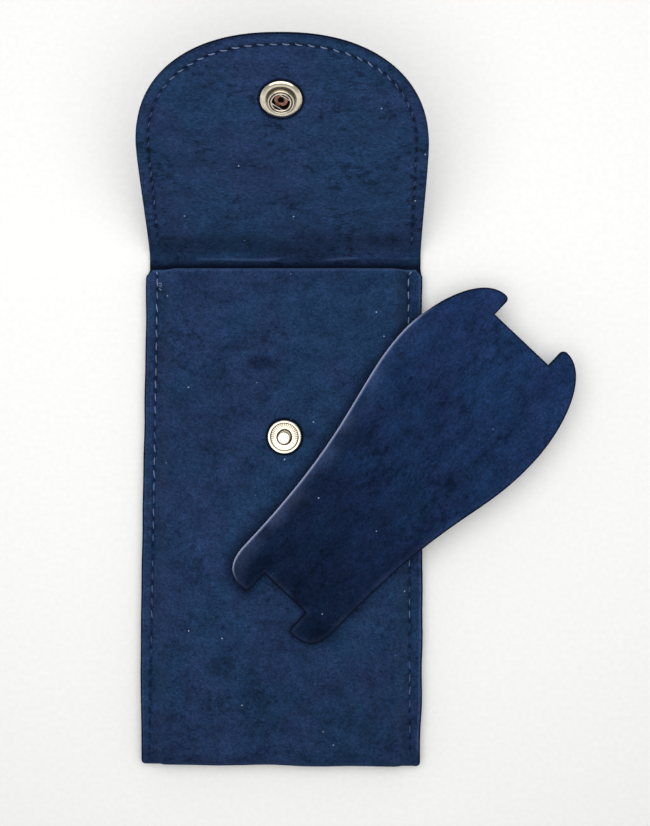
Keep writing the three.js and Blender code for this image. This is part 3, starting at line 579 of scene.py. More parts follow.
def sewn(points, seams, pitch, width):
    """How far the needle holes and the tight thread pull a sheet in, from 0 to 1, at 2-D points: a shallow channel
    along each seam and a long dent of that width at each hole."""
    pull = np.zeros(points.shape[:-1])
    for line in seams:
        channel = hump(nearest_on_line(points, line)[0], 1.2 * width)
        holes = needle_holes(line, pitch)
        half_dent = NEEDLE_DENT_REACH * unit(np.gradient(holes, axis=0))
        dents = distance_to_points(points, np.concatenate([holes - half_dent, holes + half_dent]))
        pull = np.maximum(pull, 0.25 * channel + 0.75 * hump(dents, width))
    return pull


def insert_shadow_paint(points):
    """How dark the insert's painted shadow is on the front wall beside the insert's edge, from 0 to 1, at 2-D points:
    darker on the insert's upper left, a narrow line under it and a wide soft one outside."""
    own = (points - INSERT_PLACE) @ turned_by(-INSERT_TURN)
    along, across = own[..., 0], own[..., 1]
    side = insert_side()
    gap = nearest_on_line(np.stack([along, np.abs(across)], -1), side)[0]
    inside = (np.abs(across) < np.interp(along, side[:, 0], side[:, 1], 0, 0)) & (along > 0)
    depth = 0.2 + 0.45 * smoothstep(across / 14 + 0.5)
    return depth * hump(gap, np.where(inside, 0.9, 2.6))


def make_body(suede, sewing):
    """The outer sheet and the lining of the body, each one strip folded at the bottom."""
    seams = [side_seam(-1, LEFT_SEAM_INSETS), side_seam(1, RIGHT_SEAM_INSETS)]
    outer, lining = suede.outer_thickness / MM, suede.lining_thickness / MM
    layers = [
        ("body_suede", "pouch_outer", "outer_suede", 0, outer, 0, OUTER_LAYER),
        ("body_lining", "pouch_lining", "lining_suede", WALL - lining, WALL, LINING_PROUD, LINING_LAYER)]
    for name, node, slot, shallow, deep, past_mouth, layer in layers:
        grid, inset, strip, front_rows = body_outside(past_mouth)
        x, y = grid[..., 0], grid[..., 1]
        on_front = (np.arange(len(grid)) < front_rows)[:, None]
        from_mouth = np.where(on_front, MOUTH_Y + past_mouth - y, np.inf)
        edge = np.minimum(inset, from_mouth)
        out = normals(grid)
        drop = rim_drop(edge, suede.edge_round / MM)
        pull = sewn(grid[..., :2], seams, sewing.body_stitch / MM, BODY_DENT_WIDTH)
        pull *= (inset < 2 * SEAM_FLANGE) * (shallow == 0)
        waves = WALL_WAVE * np.clip(1 + ripple(x, strip[:, None], 16, 3), 0, 4) * smoothstep(edge / 2)
        face = grid - (shallow + drop + waves + pull * sewing.hole_depth / MM)[..., None] * out
        back = grid - (deep - drop)[..., None] * out
        # Painted shade: the suede is darkened where the bottom fold rolls over and its face turns sideways.
        fold_roll_shade = ~on_front * smoothstep((0.75 - np.abs(out[..., 2])) / 0.5)
        # Painted shade: the body is darkened towards its bottom and along the bottom edge.
        low = 0.1 * smoothstep((-10 - y) / 50) + 0.12 * smoothstep((BOTTOM_Y + 4.5 - y) / 3)
        dark_spot = smoothstep(1.45 - off_mark(x, y, FRONT_STAIN) + 0.14 * ripple(x, y, 2.4, 17))
        worn = np.maximum(0.14 * hump(off_mark(x, y, FRONT_WORN), 1), 0.6 * dark_spot) * on_front
        # Painted shade: the lining on the back wall is darkened just above the mouth, where the front wall shades it.
        painted_mouth_shade = (shallow > 0) * ~on_front * (0.4 + 0.5 * smoothstep((MOUTH_Y + 2.5 - y) / 1.2))
        # Painted shadow of the insert on the front wall.
        painted_insert_shadow = (shallow == 0) * on_front * insert_shadow_paint(grid[..., :2])
        # Painted highlight, partly raised nap: a pale line just inside the side edges, stronger on the right edge, and
        # a faint lightening of the seam flange on the left.
        pale_edge_and_highlight = np.where(x > 0, 0.3, 0.1) * on_front * hump(inset - 0.7, 0.16)
        pale_edge_and_highlight = np.maximum(pale_edge_and_highlight, 0.015 * on_front * smoothstep(2.8 - inset) * smoothstep((20 - x) / 30))
        sheet = np.stack([x, -strip[:, None] + 0 * x, 0 * x + layer], -1)
        marks = {
            "sheet": sheet * MM,
            # Needle holes and seam channels are painted dark as painted shade in them; cut edges take dye with painted
            # shade.
            "dark": np.maximum.reduce([cut_shade(inset), 0.8 * pull, 0.85 * fold_roll_shade, low, worn, painted_mouth_shade, painted_insert_shadow]),
            # A pale line along the mouth's edge, paler on the lining's proud edge: partly raised nap, partly painted
            # highlight.
            "light": np.maximum(pale_edge_and_highlight, (0.3 if shallow else 0.12) * hump(from_mouth - 0.12, 0.2))}
        piece = sheet_object(name, face, back, sheet_nap(slot, suede), marks)
        dress(piece, "pouch", slot, node)


# Flap


def flap_side(along):
    """Half the flap's width beside its straight part, swelling from the fold."""
    swell = smoothstep(along / (FLAP_LENGTH - FLAP_ROUND_LENGTH))
    return (FLAP_FOLD_WIDTH + (FLAP_WIDTH - FLAP_FOLD_WIDTH) * swell) / 2


def flap_outline():
    """The flap's outline in its own plane as (across, along), from the left of the fold round the tip: straight
    sides and a superellipse for the round end."""
    start = FLAP_LENGTH - FLAP_ROUND_LENGTH
    straight = np.linspace(-FOLD_LENGTH, start, 24)[:-1]
    turn = np.linspace(0, np.pi / 2, 60)
    power = 2 / FLAP_ROUNDNESS
    across = np.concatenate([flap_side(straight), FLAP_WIDTH / 2 * np.cos(turn) ** power])
    along = np.concatenate([straight, start + FLAP_ROUND_LENGTH * np.sin(turn) ** power])
    right = np.stack([across, along], -1)
    return np.concatenate([right * [-1, 1], right[-2::-1]])


def flap_seam():
    """The flap's seam in its own plane: the outline moved inwards by the seam's inset at each place."""
    line = flap_outline()
    line = line[line[:, 1] >= 0]
    straight = FLAP_LENGTH - FLAP_ROUND_LENGTH
    inset = (
        FLAP_SEAM_INSET_AT_FOLD
        + (FLAP_SEAM_INSET - FLAP_SEAM_INSET_AT_FOLD) * smoothstep(line[:, 1] / straight)
        - (FLAP_SEAM_INSET - FLAP_SEAM_INSET_AT_TIP) * smoothstep((line[:, 1] - straight) / FLAP_ROUND_LENGTH))
    inner = line - left_of(unit(np.gradient(line, axis=0))) * inset[:, None]
    return inner[inner[:, 1] >= SEAM_START]


def flap_place(across, along, radius):
    """Points on a sheet that leaves the back wall, bends round the hinge line at a radius and goes on straight."""
    turn = FLAP_RAISED + np.minimum(along, 0) / FOLD_LENGTH * FLAP_RAISED
    straight = np.maximum(along, 0)
    y = HINGE_Y + radius * np.sin(turn) + straight * np.cos(turn)
    z = HINGE_Z - radius * np.cos(turn) + straight * np.sin(turn)
    return np.stack([across + 0 * y, y, z], -1)


def make_flap(suede, sewing):
    """The outer sheet and the lining of the flap, each with the bend that joins it to the back wall."""
    inner_steps = np.arange(6.9, FLAP_WIDTH / 2, FLAP_STEP)
    share = 1 - np.concatenate([RIM_STEPS, FLAP_SEAM_STEPS, inner_steps]) / (FLAP_WIDTH / 2)
    share = np.concatenate([-share, [0], share[::-1]])
    end = FLAP_LENGTH - FLAP_ROUND_LENGTH * (1 - (1 - np.abs(share) ** FLAP_ROUNDNESS) ** (1 / FLAP_ROUNDNESS))
    near_end = 1 - np.concatenate([np.arange(7, 0.6, -0.35), RIM_STEPS[::-1][1:]]) / FLAP_LENGTH
    rows = np.concatenate([np.linspace(0, near_end[0], FLAP_ROWS)[:-1], near_end])[:, None]
    bend = np.linspace(-FOLD_LENGTH, 0, BEND_ROWS)[:-1, None]
    along = np.vstack([bend + 0 * share, rows * end])
    across = share * flap_side(np.minimum(along, FLAP_LENGTH - FLAP_ROUND_LENGTH))
    flat = np.stack([across, along], -1)
    edge = nearest_on_line(flat, flap_outline())[0]
    pull = sewn(flat, [flap_seam()], sewing.flap_stitch / MM, FLAP_DENT_WIDTH)
    drop = rim_drop(edge, suede.edge_round / MM)
    dent = pull * sewing.hole_depth / MM
    waves = FLAP_WAVE * ripple(across, along, 18, 11) * smoothstep(edge / 6) * smoothstep(along / 8)
    crease = hump(along - CREASE_ALONG - 0.6 * ripple(across, 0 * along, 30, 5), CREASE_WIDTH)
    streaks = hump(along + 3.5 - 0.3 * ripple(across, 0 * along, 21, 8), 0.3)
    streaks *= smoothstep(ripple(across, along, 17, 4) + 0.2)
    # Painted shade on the lining near the fold: soft dark clouds low on the flap, a darker patch right of the middle
    # and a dark line where the bend leaves the back wall above the mouth.
    clouds = (0.17 + 0.16 * ripple(across, 2 * along, 26, 12)).clip(0) * smoothstep((11 - along) / 9)
    dark_spot = 0.34 * hump(off_mark(across, along, FLAP_SHADE_PATCH), 1) * (0.8 + 0.4 * ripple(across, along, 5, 6))
    clouds = np.maximum.reduce([clouds, dark_spot, 0.4 * hump(along + FOLD_LENGTH, 0.9)])
    inner, outer = FOLD_RADIUS, FOLD_RADIUS + WALL
    lining, shell = inner + suede.lining_thickness / MM, outer - suede.outer_thickness / MM
    layers = [
        ("flap_inside_lining", "lining_suede", ["flap_lining", "fold_lining"], lining - drop,
         inner + drop + dent + waves + CREASE_DEPTH * crease, LINING_LAYER, LINING_PROUD, True),
        ("flap_outside_suede", "outer_suede", ["flap_outer", "fold_outer"], outer - drop - 0.6 * dent,
         shell + drop, OUTER_LAYER, 0, False)]
    for name, slot, nodes, under, upper, layer, past_mouth, inside in layers:
        pattern = -strip_length(past_mouth) - FOLD_LENGTH - along
        marks = {
            "sheet": np.stack([across, pattern, layer + 0 * along], -1) * MM,
            # Painted shade: the outer sheet's cut edge is dark, the lining's less, and the needle holes are dark.
            "dark": np.maximum.reduce([(0.4 if inside else 1.0) * cut_shade(edge), 0.95 * pull, inside * clouds]),
            "light": inside * 0.35 * streaks}
        faces = (flap_place(across, along, radius) for radius in (under, upper))
        piece = sheet_object(name, *faces, sheet_nap(slot, suede), marks)
        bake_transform(piece)
        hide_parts(*nodes)
        size = np.array([FLAP_WIDTH, FLAP_LENGTH + FOLD_LENGTH]) * MM
        FLAP_FILL * size.prod()


# Stitches


def thread_object(name, lines, levels, place, sewing, tone, material, facing=1):
    """Short lengths of two-ply thread as one mesh: a ring of points carried along each line, drawn out sideways where a
    ply lies and thinner towards both ends. facing is -1 where place mirrors them."""
    steps = levels.shape[1]
    f = np.linspace(0, 1, steps)[:, None]
    ring = facing * np.linspace(0, 2 * np.pi, THREAD_SIDES, endpoint=False)
    ends = 0.6 + 0.4 * np.sin(np.pi * f) ** 0.5
    thick = sewing.thread_width / MM / 2 * ends * (1 + PLY_RELIEF * np.cos(2 * (ring - 6 * f)))
    places, quads = swept(lines, levels, thick, THREAD_FLATNESS, ring, place)
    marks = {"tone": np.repeat(tone, steps * THREAD_SIDES), "sheet": places * MM}
    return new_object(name, places, quads, material, marks, sharp=180)


def stitches(holes, proud, lean, steps=7):
    """Lines and levels of stitches from hole to hole: each shows over the middle of its step, arched to its own
    height, slants a little and dives at both ends."""
    f = np.linspace(0, 1, steps)
    start, step = holes[:-1, None], np.diff(holes, axis=0)[:, None]
    lines = start + step * (0.5 + STITCH_SHOWN * (f - 0.5))[:, None]
    lines = lines + left_of(unit(step)) * (2 * f - 1)[:, None] * lean[:, None, None]
    levels = -STITCH_DIVE + (proud[:, None] + STITCH_DIVE) * np.sin(np.pi * f) ** 0.6
    return lines, levels


def level_place(z, up=1, y=0):
    """Gives a function that puts points on a level sheet at that height, about a place at that y; their own height
    counts up, or with up -1 down."""
    return lambda x, along, height: np.stack([x, y + along, z + up * height], -1)


def bent_place(radius, up=-1, start=0):
    """Gives a function that puts points on the flap's sheet of that radius, about a place that far along it; their
    own height counts inwards, or with up 1 outwards."""
    return lambda x, along, height: flap_place(x, start + along, radius + up * height)


def make_stitches(sewing):
    """Upper and lower thread of the two side seams and of the flap's seam. Upper threads lie open at the mouth and
    the flap's tip and sink into the nap further on; each stitch is painted lighter where it stands proud, a painted
    highlight, and darker where it sinks, partly the nap's colour and partly painted shade. The left seam starts with
    the thread's knot."""
    thread = thread_finish(sewing)
    rng = np.random.default_rng(21)

    def sew(seam, body, upper, tone, face, holes, proud, lower_tone, back):
        """The two threads of a seam: the upper one's stitches on its face and the lower one's along the holes."""
        level = np.zeros(len(holes) - 1)
        lower = stitches(holes, level + proud, level)
        threads = [
            ("stitches", "needle", upper, face, tone, 1),
            ("back_stitches", "bobbin", lower, back, level + lower_tone, -1)]
        for name, thread_kind, (lines, levels), place, tones, facing in threads:
            piece = thread_object(f"{seam}_{name}", lines, levels, place, sewing, tones, thread, facing)
            dress(piece, body, "thread", f"{seam.removesuffix('_seam')}_{thread_kind}_thread")

    seams = [
        ("left_seam", side_seam(-1, LEFT_SEAM_INSETS), 1.1, 0.12, -0.3),
        ("right_seam", side_seam(1, RIGHT_SEAM_INSETS), 0.9, -0.05, 1.2)]
    for seam, line, sinking, slant, first_slant in seams:
        holes = needle_holes(line, sewing.body_stitch / MM)
        holes = np.concatenate([holes[:1] + [[first_slant, SEAM_START + 0.3]], holes])
        down = np.linspace(0, 1, len(holes) - 1)
        # Each stitch's tone sets how proud it stands and how light it is painted: lighter near the mouth, as painted
        # highlight, darker further down, as painted shade.
        tone = np.clip(0.95 - sinking * down + rng.normal(0, 0.16, len(down)), 0, 1)
        lines, levels = stitches(holes, -0.3 + 0.38 * tone, slant + rng.normal(0, 0.09, len(down)))
        if seam == "left_seam":
            arc = np.linspace(-2.6, 2.6, 7)
            loops = [
                holes[1] + [across, above] + r * np.stack([np.cos(arc + turn), np.sin(arc + turn)], -1)
                for across, above, r, turn in KNOT_LOOPS]
            lines = np.concatenate([lines, loops])
            levels = np.concatenate([levels, np.full((2, 7), 0.12)])
            tone = np.append(tone, [0.9, 0.8])
        sew(seam, "pouch", (lines, levels), tone, level_place(FLANGE_Z), holes[1:], -0.2, 0.3, level_place(0, -1))
    holes = needle_holes(flap_seam(), sewing.flap_stitch / MM)
    height = (holes[:-1, 1] + holes[1:, 1]) / 2
    # The flap's stitches are painted light near the tip, as painted highlight, and dark down the sides, as painted
    # shade.
    tone = np.clip(0.08 + 0.62 * smoothstep((height - 50) / 12) + rng.normal(0, 0.12, len(height)), 0, 1)
    upper = stitches(holes, -0.2 + 0.26 * tone, -0.2 + rng.normal(0, 0.06, len(height)))
    sew("flap_seam", "flap", upper, tone, bent_place(FOLD_RADIUS), holes, -0.12, 0.4,
        bent_place(FOLD_RADIUS + WALL, 1))


# Press fastener


def rounded(corners, radius, steps=4):
    """A profile of radius, height and darkness, oxide and painted shade in its recesses, whose corners are rounded:
    each becomes a quadratic curve between points a radius back along its two sides."""
    corners = np.array([(*corner, 0)[:3] for corner in corners], float)
    made = [corners[:1]]
    t = np.linspace(0, 1, steps)[:, None]
    for before, corner, after in zip(corners[:-2], corners[1:-1], corners[2:]):
        back, ahead = before - corner, after - corner
        start = corner + back * min(0.45, radius / np.linalg.norm(back[:2]))
        stop = corner + ahead * min(0.45, radius / np.linalg.norm(ahead[:2]))
        made.append((1 - t) ** 2 * start + 2 * t * (1 - t) * corner + t ** 2 * stop)
    return np.concatenate([*made, corners[-1:]])


def turned(name, profile, place, material, segments=96, relief=None, lean=(0, 0)):
    """A turned piece: a profile, outwards over the top and back underneath, carried round its axis.
    relief(radius, height, angle) is how deep, in millimetres, a pattern is pressed into it, and lean how far its
    knob is bent to one side."""
    angle = np.linspace(0, 2 * np.pi, segments, endpoint=False)
    radius, height, dirt_and_shade = (profile[:, i:i + 1] + 0 * angle for i in range(3))
    if relief is not None:
        depth = relief(radius, height, angle)
        height = height - depth
        # A pressed pattern is painted dark by its depth: painted shade in its grooves.
        dirt_and_shade = np.maximum(dirt_and_shade, 9 * depth)
    bent = smoothstep((height - 0.4) / 1.2) * ((radius > 1.2) | (height > 1.8))
    x, y = radius * np.cos(angle) + lean[0] * bent, radius * np.sin(angle) + lean[1] * bent
    places = place(x, y, height).reshape(-1, 3)
    quads = tube(len(profile), segments)[:, ::-1]
    return new_object(name, places, quads, material, {"dirt_and_shade": dirt_and_shade.ravel()}, merge=True, sharp=35)


def wire_spring(material, place):
    """The socket's spring: one round wire, two straight runs joined round the slot."""
    half_gap = WIRE_GAP / 2
    reach = math.sqrt(WIRE_BEND ** 2 - half_gap ** 2)
    edge = math.atan2(half_gap, reach)
    turn = np.linspace(edge, -edge, 15)
    run = np.linspace(-reach, reach, 8)[:-1]
    path = np.concatenate([
        np.stack([run, 0 * run + half_gap], -1),
        WIRE_BEND * np.stack([np.cos(turn), np.sin(turn)], -1),
        np.stack([run[::-1], 0 * run - half_gap], -1)]) @ turned_by(WIRE_TURN)
    size = np.full((len(path), 1), WIRE_RADIUS)
    size[[0, -1]] *= 0.3
    ring = np.linspace(0, 2 * np.pi, 10, endpoint=False)
    places, quads = swept(path[None], np.full((1, len(path)), WIRE_LEVEL), size, 1, ring, place)
    return new_object("socket_wire", places, quads, material, {"dirt_and_shade": np.zeros(len(places))}, sharp=180)


def make_fastener(metal):
    """Socket, wire and riveted cap on the flap; stud and eyelet on the front wall."""
    nickel = metal_finish("pale_nickel_plate", metal.nickel, 0.16, metal.dirt_and_shade)
    copper = metal_finish("coppery_brass", metal.copper, 0.24, metal.dirt_and_shade)
    steel = metal_finish("spring_steel_wire", metal.steel, 0.2, metal.dirt_and_shade)
    socket = rounded([
        (1.25, 0.1), (1.25, 0.5, 1), (2.39, 0.55, 1), (2.39, 1.18, 1), (2.95, 1.18, 1), (2.95, 1.6, 1),
        (2.39, 1.6, 0.5), (2.39, 1.66), (2.5, 1.76), (2.7, 1.76), (2.8, 1.68, 0.6), (2.84, 1.58, 1), (3.04, 1.58, 1),
        (3.1, 1.66, 0.6), (3.2, 1.76), (3.42, 1.76), (3.54, 1.62), (3.56, 0.9, 0.7), (3.62, 0.46, 1), (3.85, 0.46, 0.5),
        (4.3, 0.62), (4.8, 0.6), (5.2, 0.5), (5.5, 0.32), (5.62, 0.2, 0.3), (5.5, 0.1, 1), (1.25, 0.1, 1)], 0.07)
    dome = np.linspace(np.pi / 2, 0, 24)
    shell = np.stack([CAP_RADIUS * np.sin(dome), -WALL - 0.4 - 1.2 * np.cos(dome), 0 * dome], -1)
    cap = np.concatenate([
        rounded([
            (0, 0.1, 1), (0.55, 0.1, 1), (0.68, 0.3, 1), (0.8, 0.58, 0.4), (1.2, 0.72), (1.75, 0.69), (1.97, 0.6, 0.5),
            (1.83, 0.53, 1), (1.1, 0.53, 1), (1.1, -WALL - 0.1, 1), (6.08, -WALL - 0.1, 1),
            (CAP_RADIUS, -WALL - 0.4)], 0.12)[:-1],
        shell])
    stud = rounded([
        (0, 2.02), (1.1, 2.0), (1.55, 1.93), (1.76, 1.82), (1.74, 1.73, 0.8), (1.5, 1.66, 1), (1.25, 1.58, 1),
        (1.22, 1.0, 1), (1.3, 0.4, 0.8), (1.6, 0.28, 0.4), (1.9, 0.36, 0.2), (2.14, 0.6), (2.5, 0.68), (3.0, 0.64),
        (3.7, 0.62), (3.9, 0.72), (4.1, 0.88), (4.2, 0.92), (4.6, 0.92), (4.78, 0.76), (STUD_RADIUS, 0.3, 0.4),
        (4.68, 0.1, 1), (1.1, 0.1, 1), (1.1, 1.5, 1), (0, 1.5, 1)], 0.07)
    eyelet = rounded([
        (0, 1.43), (0.95, 1.43), (0.95, -WALL - 0.1), (4.48, -WALL - 0.1), (4.6, -WALL - 0.22), (4.48, -WALL - 0.35),
        (0, -WALL - 0.35)], 0.08)

    def ribs(radius, height, angle):
        # The ribs are deeper on the upper side and fade at the bottom, and the groove round them is cut on the upper
        # side only: with their depth painted dark, painted shade on one side of the stud.
        pressed = smoothstep((radius - RIBS_FROM) / 0.3) * smoothstep((RIBS_TO - radius) / 0.12) * (height > 0.45)
        pressed = pressed * (0.2 + 0.8 * smoothstep(np.sin(angle) + 0.9))
        groove = 0.08 * hump(radius - RIBS_TO + 0.07, 0.14) * smoothstep(np.sin(angle) + 0.2) * (height > 0.45)
        return np.maximum(metal.rib_depth / MM * (0.5 + 0.5 * np.cos(metal.ribs * angle)) * pressed, groove)

    on_flap = bent_place(FOLD_RADIUS, -1, SOCKET_ALONG)
    on_front = level_place(FRONT_Z, 1, STUD_Y)
    rivet = turned("riveted_cap", cap, on_flap, nickel)
    rivet.data.materials.append(copper)
    centres = np.empty(len(rivet.data.polygons) * 3)
    rivet.data.polygons.foreach_get("center", centres)
    away = np.linalg.norm(centres.reshape(-1, 3) - flap_place(0, SOCKET_ALONG, FOLD_RADIUS - 0.5) * MM, axis=1)
    rivet.data.polygons.foreach_set("material_index", (away < RIVET_RADIUS * MM).astype(np.int32))
    pieces = [
        (turned("socket", socket, on_flap, nickel, 144), "flap", "snap_socket", "snap_nickel"),
        (rivet, "flap", "snap_cap", "snap_nickel"),
        (wire_spring(steel, on_flap), "flap", "snap_spring", "spring_steel"),
        (turned("stud", stud, on_front, nickel, 240, ribs, STUD_LEAN), "pouch", "snap_stud", "snap_nickel"),
        (turned("eyelet", eyelet, on_front, copper), "pouch", "snap_eyelet", "snap_brass")]
    for piece, body, node, slot in pieces:
        dress(piece, body, slot, node)


# Insert


def bezier(points, count):
    """A cubic curve through four control points, without its first point."""
    t = np.linspace(0, 1, count + 1)[1:, None]
    a, b, c, d = (np.array(p, float) for p in points)
    return (1 - t) ** 3 * a + 3 * t * (1 - t) ** 2 * b + 3 * t ** 2 * (1 - t) * c + t ** 3 * d


def insert_side():
    """Half of the insert's outline from the lobe's tip to the horn's tip: (along, half width)."""
    narrow, wide = INSERT_NARROW_WIDTH / 2, INSERT_WIDE_WIDTH / 2
    notch, big_notch = NARROW_NOTCH_WIDTH / 2, WIDE_NOTCH_WIDTH / 2
    lobe, horn = -NARROW_NOTCH_DEPTH, INSERT_LENGTH + WIDE_NOTCH_DEPTH
    waist = (LOBE_ROUND - NARROW_NOTCH_DEPTH, narrow)
    hip = (INSERT_WIDEST_AT, wide)
    tip, far_tip = (lobe, notch + HORN_TIP), (horn, big_notch + HORN_TIP)
    return np.concatenate([
        [tip],
        bezier([tip, (lobe, (notch + narrow * 2) / 3 + HORN_TIP), ((lobe * 2 + waist[0]) / 3, narrow), waist], 30),
        bezier([waist, (waist[0] + WAIST_REACH, narrow), (hip[0] - HIP_REACH, wide), hip], 90),
        bezier([hip, (hip[0] + HORN_REACH, wide), (horn, (wide * 2 + big_notch) / 3), far_tip], 44)])


def make_insert(looks, suede):
    """Two suede faces on a stiff board, cut to one outline: a grid across the insert whose outer columns run on into
    the lobes and horns beside the two notches. The lobes' and horns' inner corners are quarter circles."""
    side = insert_side()
    lobe, horn = side[0, 0], side[-1, 0]
    tip_steps = np.array([0.06, 0.2, 0.42, 0.7, 1.0]) * HORN_TIP
    notch_steps = np.concatenate([RIM_STEPS, [1.3, 1.9]])
    along = np.unique(np.round(np.concatenate([
        side[:, 0], lobe + tip_steps, horn - tip_steps, notch_steps, INSERT_LENGTH - notch_steps]), 3))
    outer = np.interp(along, side[:, 0], side[:, 1])
    notch = np.interp(along, [0, INSERT_LENGTH], [NARROW_NOTCH_WIDTH / 2, WIDE_NOTCH_WIDTH / 2])
    to_tip = np.clip(np.minimum(along - lobe, horn - along), 0, HORN_TIP)
    notch += HORN_TIP - np.sqrt(HORN_TIP ** 2 - (HORN_TIP - to_tip) ** 2)
    notch = np.minimum(notch, outer)
    rim = np.array([0, 0.01, 0.025, 0.045, 0.075, 0.12, 0.2, 0.31, 0.43, 0.55, 0.67, 0.78, 0.87, 0.94, 0.98, 1])
    flank = outer[:, None] + (notch - outer)[:, None] * rim
    middle = notch[:, None] * np.linspace(1, -1, 30)[1:-1]
    across = np.hstack([flank, middle, -flank[:, ::-1]])
    flat = np.stack([along[:, None] + 0 * across, across], -1)
    inner = np.stack([along, notch], -1)
    outline = np.concatenate([
        [[0, 0]], inner[along <= 0][::-1], np.stack([along, outer], -1)[1:-1],
        inner[along >= INSERT_LENGTH][::-1], [[INSERT_LENGTH, 0]]])
    edge, outward = nearest_on_line(np.abs(flat * [0, 1]) + flat * [1, 0], outline)
    # upper_left: where the insert's edge faces up and to the left; the edge is painted pale there, a painted highlight,
    # and dark elsewhere, painted shade.
    upper_left = np.clip(outward[..., 1], 0, 1) * (across > 0) * smoothstep((92 - along) / 14)[:, None]
    columns = across.shape[1] - 1
    in_middle = (np.arange(columns) >= len(rim) - 1) & (np.arange(columns) < columns - len(rim) + 1)
    between = (along[:-1] >= 0) & (along[1:] <= INSERT_LENGTH)
    keep = between[:, None] | ~in_middle
    sway = INSERT_SWAY * smoothstep((along - INSERT_WIDEST_AT + HIP_REACH) / SWAY_LENGTH)
    drop = rim_drop(edge, suede.edge_round / MM * 0.8)
    nap = insert_nap(suede)
    board = board_finish(looks.core)
    face, core, shift = looks.face / MM, looks.board / MM, looks.offset / MM
    # A hazy lighter band inside the insert's edge, mostly on the upper left and fading out towards the wide end: partly
    # raised nap, partly painted highlight.
    fade = 0.055 * smoothstep((95 - along) / 50)[:, None]
    nap_haze_and_highlight = np.maximum(upper_left * fade * hump(edge, 3), 0.3 * fade * hump(edge - 0.8, 0.6))
    nap_haze_and_highlight = nap_haze_and_highlight * (0.8 + 0.5 * ripple(flat[..., 0], across, 8, 6)).clip(0.1, 1.3)
    layers = [
        ("insert_back_suede", "insert_back_face", "insert_suede", nap, INSERT_Z, face, -shift),
        ("insert_board", "insert_core", "core_board", board, INSERT_Z + face, core, shift),
        ("insert_front_suede", "insert_front_face", "insert_suede", nap, INSERT_Z + face + core, face, -shift)]
    for (name, node, slot, material, low, thick, offset), layer in zip(layers, INSERT_LAYERS):
        rounding = drop if material is nap else 0.4 * drop
        place = np.stack([flat[..., 0], across + sway[:, None] + offset], -1)
        place = place @ turned_by(INSERT_TURN) + INSERT_PLACE
        top = np.concatenate([place, (low + thick - rounding)[..., None]], -1)
        bottom = np.concatenate([place, (low + rounding)[..., None]], -1)
        marks = {
            "sheet": np.concatenate([flat, np.full(edge.shape + (1,), layer)], -1) * MM,
            # Painted shade darkens the edges and the board's cut edge except on the upper left; a painted highlight
            # lightens the upper-left edge.
            "dark": (1 if material is board else cut_shade(edge)) * (1 - upper_left) ** 2,
            "light": 0.9 * upper_left * hump(edge, 0.3) + nap_haze_and_highlight}
        dress(sheet_object(name, bottom, top, material, marks, keep), "insert", slot, node)


# Finishes


def feed(tree, node, inputs):
    """Gives a node's inputs their values or links. A plain colour needs no fourth channel."""
    for name, value in inputs.items():
        socket = node.inputs[name]
        if isinstance(value, bpy.types.NodeSocket):
            tree.links.new(value, socket)
        else:
            socket.default_value = (*value, 1) if socket.type == "RGBA" and len(value) == 3 else value


def add(tree, kind, inputs=None, output=0, **settings):
    """Adds a node with its settings and its inputs' values or links, and gives one of its outputs."""
    node = tree.nodes.new("ShaderNode" + kind)
    for name, value in settings.items():
        setattr(node, name, value)
    feed(tree, node, inputs or {})
    return node.outputs[output]


def new_finish(name, **values):
    """A material with a Principled shader, its constant values set on the shader's own sockets."""
    material = bpy.data.materials.new(name)
    material.use_nodes = True
    tree = material.node_tree
    shader = tree.nodes["Principled BSDF"]
    feed(tree, shader, {socket.replace("_", " "): value for socket, value in values.items()})
    return material, tree, shader


def per(size_mm):
    """Pattern scale that makes one feature about that many millimetres."""
    return 1 / (size_mm * MM)


def coat(tree, shader, colour, layers, *bumps):
    """Gives a shader its colour and its bumps. Each layer of colour is a share, what lies over the colours before it
    and how that is blended; each bump, finest first, is a height, a strength and a depth in millimetres."""
    for share, over, blend in layers:
        colour = add(tree, "Mix", {0: share, 6: colour, 7: over}, 2, data_type="RGBA", blend_type=blend)
    feed(tree, shader, {"Base Color": colour})
    normal = shader.inputs["Normal"]
    for height, strength, depth in bumps:
        bump = add(tree, "Bump", {"Height": height, "Strength": strength, "Distance": depth * MM})
        tree.links.new(bump, normal)
        normal = bump.node.inputs["Normal"]


